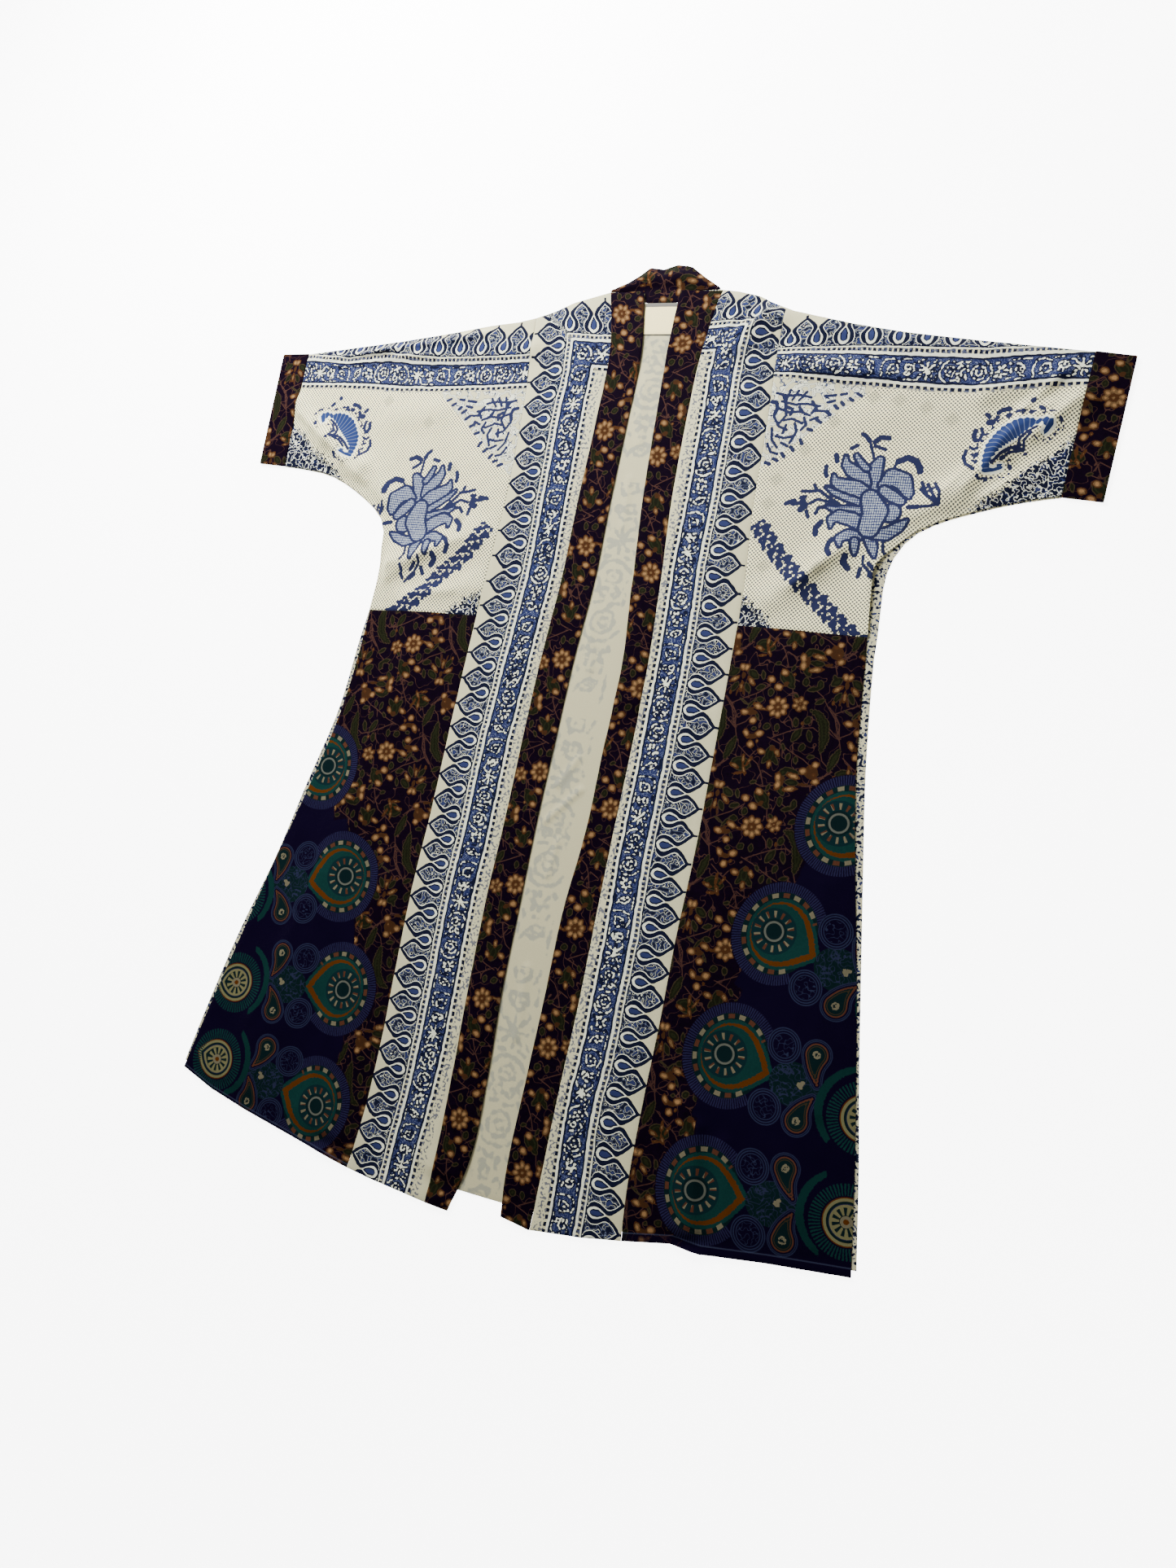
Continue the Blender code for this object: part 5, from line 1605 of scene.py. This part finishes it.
def yoke_colour(node, place):
    """The dotted cream ground with its drawn groups, and the border along the sleeve."""
    band = border_colour(node, place)
    worn = node("TexNoise", place, None, 300.0, 1.0, 0.5)
    rough = node("MapRange", worn, 0.3, 0.7, -0.3, 0.3)
    spot = node("TexNoise", place, None, 70.0, 1.0, 0.5, out=1)
    moved = node("VectorMath MULTIPLY_ADD", spot, (0.0012, 0.0012, 0.0), place)
    x, y = node("SeparateXYZ", moved, out=None)[:2]

    # Rows of small dots at 45 degrees
    dots = [node("COSINE", node("MULTIPLY", part, DOT_TURN)) for part in (x, y)]
    dot = node("MapRange", node("MULTIPLY", *dots), -0.15, 0.28, 0.0, 1.0)
    overlap_place = node("Attribute grounds", out=1)
    speckled, ribs, overlap = node("SeparateXYZ", overlap_place, out=None)
    dot = node("MAXIMUM", dot, node("MULTIPLY", overlap, 0.42))
    ground = node("MixRGB", dot, YOKE_CREAM, DOT_GREY)
    # Fine drawn lines of the corner, which wander like the veins of leaves
    corner = node("LESS_THAN", overlap, -0.5)
    veins = node("TexNoise", place, None, 95.0, 1.0, 0.5)
    veins = node("ValToRGB", veins, points=[
        (0.0, CREAM), (0.40, SLATE), (0.425, WHITE), (0.49, INK_BLUE), (0.515, WHITE), (0.575, SLATE),
        (0.60, CREAM)])
    colour = node("MixRGB", corner, ground, veins)

    # Speckled leafy corners
    ragged = node("ADD", speckled, node("MapRange", worn, 0.35, 0.65, -5.0, 5.0))
    speckle = node("TexNoise", place, None, 190.0, 1.0, 0.5)
    speckle = node("ValToRGB", speckle, points=[(0.0, NAVY), (0.47, WHITE), (0.53, BUD_BLUE), (0.58, NAVY)])
    leafy = node("LESS_THAN", ragged, 0.0)
    colour = node("MixRGB", leafy, colour, speckle)

    # Petals washed pale and cross-hatched
    motifs = node("Attribute motifs", out=1)
    ink, wash, comb = node("SeparateXYZ", motifs, out=None)
    hatches = [node("SINE", node("MULTIPLY", part, turn))
               for part, turn in ((x, HATCH_TURN), (y, HATCH_TURN * 0.8))]
    hatch = node("ADD", node("MAXIMUM", *hatches), rough)
    hatch = node("MapRange", hatch, 0.30, 0.70, 0.0, 1.0)
    petal = node("MixRGB", hatch, PETAL_PALE, HATCH_BLUE)
    colour = node("MixRGB", node("LESS_THAN", wash, 0.0), colour, petal)

    # The comb, with its white rim and ribs
    colour = node("MixRGB", node("LESS_THAN", comb, 2.0), colour, WHITE)
    teeth = node("PINGPONG", node("MULTIPLY", ribs, RIBS / 360.0), 0.5)
    body = node("ADD", comb, node("MapRange", teeth, 0.0, 0.5, 1.4, -0.6))
    body = node("LESS_THAN", body, 0.0)
    colour = node("MixRGB", body, colour, COMB_BLUE)
    rib = node("MapRange", teeth, 0.05, 0.12, 0.75, 0.0)
    rib = node("MULTIPLY", rib, node("MapRange", comb, -1.0, -3.0, 0.0, 1.0))
    colour = node("MixRGB", rib, colour, PALE_BLUE)
    # Broken dashes that gather round the back of the comb
    scatter = node("GREATER_THAN", node("TexNoise", place, None, 230.0, 0.0, 0.5), 0.55)
    scatter = node("MULTIPLY", scatter, node("COMPARE", comb, 7.0, 2.6))
    colour = node("MixRGB", scatter, colour, INK_BLUE)
    drawn = node("LESS_THAN", node("ADD", ink, rough), 0.35)
    colour = node("MixRGB", drawn, colour, INK_BLUE)

    on_border = node("GREATER_THAN", node("SeparateXYZ", node("Attribute border", out=1)), -9.0)
    return node("MixRGB", on_border, colour, band)


def back_colour(node, place):
    """The back: its print shows through faintly inside, and crisply at its outer side and edges."""
    rough = node("MapRange", node("TexNoise", place, None, 90.0, 2.0, 0.6), 0.3, 0.7, -2.2, 2.2)
    motif = node("ADD", node("Attribute print", out=2), rough)
    faint = node("MapRange", motif, 0.8, -0.8, 0.0, 0.55)
    # The cream under the faint print is darkened as painted shade of the opening
    inside_colour = node("MixRGB", faint, SHADED_BACK_CREAM, BACK_PRINT)
    speckle = node("TexNoise", place, None, 240.0, 1.0, 0.5)
    speckle = node("ValToRGB", speckle, points=[
        (0.0, NAVY), (0.41, SLATE), (0.45, CREAM), (0.64, BUD_BLUE)])
    crisp = node("Attribute crisp", out=2)
    return node("MixRGB", crisp, inside_colour, speckle)


def label_colour(node, place):
    """Bare satin, grey along the seam above, with a painted shadow line along the folded edge below."""
    parts = node("SeparateXYZ", place, out=None)
    seam = node("GREATER_THAN", parts[1], (LABEL_TOP_Y - 5.6) * MM)
    # Its last millimetre at the folded lower edge is painted shadow, in the seam's grey
    painted_shadow_at_fold = node("LESS_THAN", parts[1], (LABEL_TOP_Y - LABEL_LENGTH + 1.0) * MM)
    seam_and_shadow_line = node("ADD", seam, painted_shadow_at_fold)
    return node("MixRGB", seam_and_shadow_line, LABEL_WHITE, SEAM_AND_SHADOW_GREY)


def declare(obj, node, material):
    """What every cloth piece takes: its finish, a place under the root body, and its node's solid hidden.
    """
    obj.data.materials.append(material)
    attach(obj, "root")
    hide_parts(node)


def add_sheet(name, node, plan, underside, thickness, fields, material):
    """One sheet over its plan grid, given its finish and node."""
    obj = closed_sheet(name, plan, underside, thickness, fields)
    declare(obj, node, material)


def add_front(node, plan, thickness, fields, material):
    """One front piece, laid on the back."""
    underside = FRONT_LEVEL + lay(plan[..., 0], plan[..., 1])
    add_sheet("printed_" + node, node, plan, underside, thickness, fields, material)


def add_back(material):
    """The back with its sleeve backs: fine where the opening shows it, coarse under the fronts."""
    outline = outline_points(with_cuffs=False)
    fine = []
    for start, end in zip(outline, np.roll(outline, -1, axis=0)):
        count = max(1, int(round(np.hypot(*(end - start)) / EDGE_SPACING)))
        fine += [start + (end - start) * k / count for k in range(count)]
    fine = np.array(fine)
    near, wide = (
        np.stack(np.meshgrid(np.arange(x0, x1, spacing), np.arange(y0, y1, spacing), indexing="ij"), axis=2)
        for (x0, x1, y0, y1), spacing in ((OPENING_REACH, OPENING_SPACING), (HIDDEN_REACH, HIDDEN_SPACING)))
    far = (wide[..., 0] < OPENING_SIDES[0]) | (wide[..., 0] > OPENING_SIDES[1])
    inner = np.vstack([near.reshape(-1, 2), wide[far]])
    inner = inner[inside(outline, *inner.T) & (to_loop(outline, *inner.T) > 2.0)]
    points = np.vstack([fine, inner])
    loop = [(i, (i + 1) % len(fine)) for i in range(len(fine))]
    found = delaunay_2d_cdt([Vector(p) for p in points], loop, [list(range(len(fine)))], 1, 1e-6)
    plan = np.array([tuple(p) for p in found[0]])
    upper = list(found[2])
    height = CLOTH + back_wrinkles(plan[:, 0], plan[:, 1])
    height[:len(fine)] -= RIM_DROP
    under = delaunay_2d_cdt([Vector(p) for p in fine], loop, [list(range(len(fine)))], 1, 1e-6)
    count = len(plan)
    vertices = np.vstack([np.column_stack([plan, height]), np.column_stack([fine, np.zeros(len(fine))])])
    faces = [tuple(f) for f in upper]
    faces += [tuple(count + i for i in reversed(f)) for f in under[2]]
    faces += [(count + i, count + j, j, i) for i, j in loop]
    flat = np.vstack([plan, fine])
    from_left = flat[:, 0] - lengthwise("edge_left", flat[:, 1])
    run = (-flat[:, 1] / BACK_PRINT_SCALE) % SCROLL_LENGTH
    showing = (from_left > -8.0) & (flat[:, 0] < lengthwise("edge_right", flat[:, 1]) + 8.0)
    showing[count:] = False
    fields = {
        "print": stroke_distance(BAND_STROKES, from_left / BACK_PRINT_SCALE + 1.0, run) * BACK_PRINT_SCALE,
        "crisp": np.where(showing, 0.0, 1.0),
    }
    obj = make_object("printed_back", vertices, faces, fields)
    flat = (outline.max(axis=0) - outline.min(axis=0)) * MM
    declare(obj, "back_panel", material)


def back_wrinkles(x, y):
    """Small soft creases of the back where the opening shows it."""
    lift = ridges(BACK_CREASES, x, y)
    left = x - lengthwise("edge_left", y)
    right = lengthwise("edge_right", y) - x
    room = np.clip((np.minimum(left, right) - 2.0) / 9.0, 0.0, 1.0)
    ends = np.clip((y + 560.0) / 20.0, 0.0, 1.0) * np.clip((485.0 - y) / 20.0, 0.0, 1.0)
    return lift * room * ends


def cuff_profile(length, radius, steps, end_steps):
    """Ring round a flattened tube: distance along the cuff, and height, anticlockwise from below."""
    along = np.linspace(CUFF_HEIGHT / 2, length - CUFF_HEIGHT / 2, steps + 1)
    turn = np.linspace(-np.pi / 2, np.pi / 2, end_steps + 1)[1:-1]
    middle = CUFF_HEIGHT / 2
    bottom = [(a, middle - radius, 0.0) for a in along]
    far_end = [(length - middle + radius * np.cos(t), middle + radius * np.sin(t), 0.0) for t in turn]
    top = [(a, middle + radius, 1.0) for a in along[::-1]]
    near_end = [(middle - radius * np.cos(t), middle + radius * np.sin(t), 0.0) for t in turn[::-1]]
    return np.array(bottom + far_end + top + near_end)


def add_cuff(side_name, material):
    """A doubled cuff round the end of the sleeve, which is pressed flat."""
    outward = OUTWARD[side_name]
    cuff = CUFF[side_name]
    rings = {"outer": [], "inner": []}
    for share in np.linspace(0.0, 1.0, CUFF_SECTIONS):
        low = (1 - share) * np.array(cuff["seam_low"]) + share * np.array(cuff["end_low"])
        high = (1 - share) * np.array(cuff["seam_high"]) + share * np.array(cuff["end_high"])
        low[0] += outward * SEAM_GAP / 2 * (1 - share)
        high[0] += outward * SEAM_GAP / 2 * (1 - share)
        length = np.hypot(*(high - low))
        rim = RIM_DROP if share in (0.0, 1.0) else 0.0
        for name, radius in (("outer", CUFF_HEIGHT / 2 - rim), ("inner", CUFF_HEIGHT / 2 - CLOTH + rim)):
            ring = cuff_profile(length, radius, CUFF_STEPS, CUFF_END_STEPS)
            plan = low + ring[:, :1] * (high - low) / length
            lift = lay(plan[:, 0], plan[:, 1])
            height = ring[:, 1] + ring[:, 2] * lift
            rings[name].append(np.column_stack([plan, height]))
    outer = np.array(rings["outer"])
    inner = np.array(rings["inner"])
    count = outer.shape[1]
    outer_index = np.arange(CUFF_SECTIONS * count).reshape(CUFF_SECTIONS, count)
    inner_index = outer_index + CUFF_SECTIONS * count
    faces = []
    for index, inward in ((outer_index, False), (inner_index, True)):
        closed = np.concatenate([index, index[:, :1]], axis=1)
        quads = grid_quads(closed)
        faces += [tuple(f) for f in (quads if inward == (outward > 0) else quads[:, ::-1])]
    for section, flip in ((0, False), (-1, True)):
        a = outer_index[section]
        b = inner_index[section]
        for i in range(count):
            j = (i + 1) % count
            quad = (a[i], a[j], b[j], b[i])
            faces.append(quad if flip != (outward > 0) else quad[::-1])
    points = np.vstack([outer.reshape(-1, 3), inner.reshape(-1, 3)])
    flower_x, flower_y = CUFF_FLOWER[side_name]
    fields = floral_distances(points[:, 0] - flower_x, points[:, 1] - flower_y)
    obj = make_object("printed_cuff_" + side_name, points, faces, fields)
    declare(obj, "cuff_" + side_name, material)


def add_neck_band(material):
    """The doubled band behind the neck."""
    rows = np.array(NECK_BAND)
    rows[3:5, 0] -= NECK_TUCK
    rows[-5:-3, 0] += NECK_TUCK
    x = np.linspace(rows[0, 0], rows[-1, 0], steps_for(rows[-1, 0] - rows[0, 0], NECK_BAND_SPACING) + 1)
    seam_y = np.interp(x, rows[:, 0], rows[:, 1])
    fold_y = np.interp(x, rows[:, 0], rows[:, 2])
    crown = np.interp(x, rows[:, 0], rows[:, 3])
    v = np.linspace(0.0, 1.0, NECK_BAND_POINTS)
    y = seam_y[:, None] + v * (fold_y - seam_y)[:, None]
    rise = np.clip((y - NECK_CROWN_Y) / (fold_y[:, None] - NECK_CROWN_Y), 0.0, 1.0)
    plan = np.stack([np.broadcast_to(x[:, None], y.shape), y], axis=2)
    underside = crown[:, None] * np.sin(np.pi * rise) ** 2
    fields = floral_distances(plan[..., 0] - NECK_FLOWER[0], plan[..., 1] - NECK_FLOWER[1])
    add_sheet("printed_band_back_neck", "band_back_neck", plan, underside, DOUBLED_CLOTH, fields,
              material)


def add_label(material):
    """The bare woven label, lying on the back under the band ends."""
    x = np.linspace(LABEL_CENTRE_X - LABEL_WIDTH / 2, LABEL_CENTRE_X + LABEL_WIDTH / 2, LABEL_POINTS)
    y = np.linspace(LABEL_TOP_Y - LABEL_LENGTH, LABEL_TOP_Y, LABEL_POINTS)
    plan = np.stack(np.meshgrid(x, y, indexing="ij"), axis=2)
    underside = np.full(plan.shape[:2], FRONT_LEVEL)
    add_sheet("woven_label", "label", plan, underside, LABEL_CLOTH, {},
              material)


def add_stage():
    """Camera at the photo's angle, a plain pale floor and soft studio light."""
    camera_data = bpy.data.cameras.new("camera")
    camera = bpy.data.objects.new("camera", camera_data)
    camera.location = CAMERA_PLACE
    camera.rotation_euler = [math.radians(a) for a in CAMERA_TURN]
    camera_data.lens = CAMERA_LENS
    camera_data.sensor_width = SENSOR_WIDTH
    bpy.context.scene.collection.objects.link(camera)
    bpy.context.scene.camera = camera
    deselect()
    bpy.ops.mesh.primitive_plane_add(size=FLOOR_SIZE, location=(0.0, 0.0, -FLOOR_DROP))
    floor = bpy.context.active_object
    floor.name = "pale_floor"
    # Matt painted board: it glows a little, as a lit white sweep does, and so reads as plain white
    paint, shader = cloth("matt_painted_floor", FLOOR_WHITE, 0.85, 0.02, 0.06)
    shader.inputs["Emission Color"].default_value = (1.0, 1.0, 1.0, 1.0)
    shader.inputs["Emission Strength"].default_value = FLOOR_GLOW
    floor.data.materials.append(paint)
    world = bpy.data.worlds.new("soft_studio")
    world.use_nodes = True
    background = world.node_tree.nodes["Background"]
    background.inputs["Color"].default_value = (1.0, 1.0, 1.0, 1.0)
    background.inputs["Strength"].default_value = WORLD_STRENGTH
    bpy.context.scene.world = world
    for name, place, size, power in LIGHTS:
        data = bpy.data.lights.new(name, "AREA")
        data.shape = "SQUARE"
        data.size = size
        data.energy = power
        light = bpy.data.objects.new(name, data)
        light.location = place
        light.rotation_euler = (Vector((0.0, 0.0, 0.0)) - Vector(place)).to_track_quat("-Z", "Y").to_euler()
        bpy.context.scene.collection.objects.link(light)


# Plain-woven cotton, hand block-printed on its other side: the ink shows through it faint and soft
back_cloth = printed_cloth("printed_cotton_seen_from_inside", back_colour, 0.9, 0.02, 0.06, 0.0002)
# The same cotton printed with carved blocks: quite matt, with crisp lines whose edges break up a little
border = printed_cloth("block_printed_border_cotton", border_colour, 0.86, 0.02, 0.06, 0.0002)
yoke_cloth = printed_cloth("block_printed_cream_cotton", yoke_colour, 0.86, 0.02, 0.06, 0.0002)
# Plain-woven viscose, screen-printed dark: soft, deep in colour and with hardly any shine
dark = printed_cloth("printed_dark_floral_viscose", floral_colour, 0.8, 0.0, 0.02, 0.0002)
skirt_cloth = printed_cloth("printed_dark_medallion_viscose", skirt_colour, 0.8, 0.0, 0.02, 0.0002)
# Woven satin, its folds pressed: smoother than the cotton, with a slight sheen and a finer weave
label_cloth = printed_cloth("woven_label_satin", label_colour, 0.6, 0.02, 0.1, 0.0001)

add_stage()
add_back(back_cloth)
for side_name, waist_inner, waist_outer in WAIST:
    plan = yoke_plan(side_name, waist_inner)
    add_front("yoke_sleeve_" + side_name, plan, CLOTH, yoke_fields(plan, side_name),
              yoke_cloth)
    plan = skirt_plan(side_name, waist_inner, waist_outer)
    add_front("skirt_" + side_name, plan, CLOTH, skirt_fields(plan, side_name), skirt_cloth)
    plan = lengthwise_plan(side_name, "band_" + side_name, "strip_" + side_name, SEAM_GAP / 2, SEAM_GAP / 2,
                           None, STRIP_SHARES, steps_for(STRIP_LENGTH, STRIP_SPACING))
    add_front("strip_" + side_name, plan, CLOTH, border_fields(plan, side_name), border)
    plan = lengthwise_plan(side_name, "edge_" + side_name, "band_" + side_name, 0.0, SEAM_GAP / 2,
                           NECK_JOIN_Y, BAND_SHARES, steps_for(BAND_LENGTH, BAND_SPACING))
    add_front("band_" + side_name, plan, DOUBLED_CLOTH, band_fields(plan, side_name), dark)
    add_cuff(side_name, dark)
add_neck_band(dark)
add_label(label_cloth)
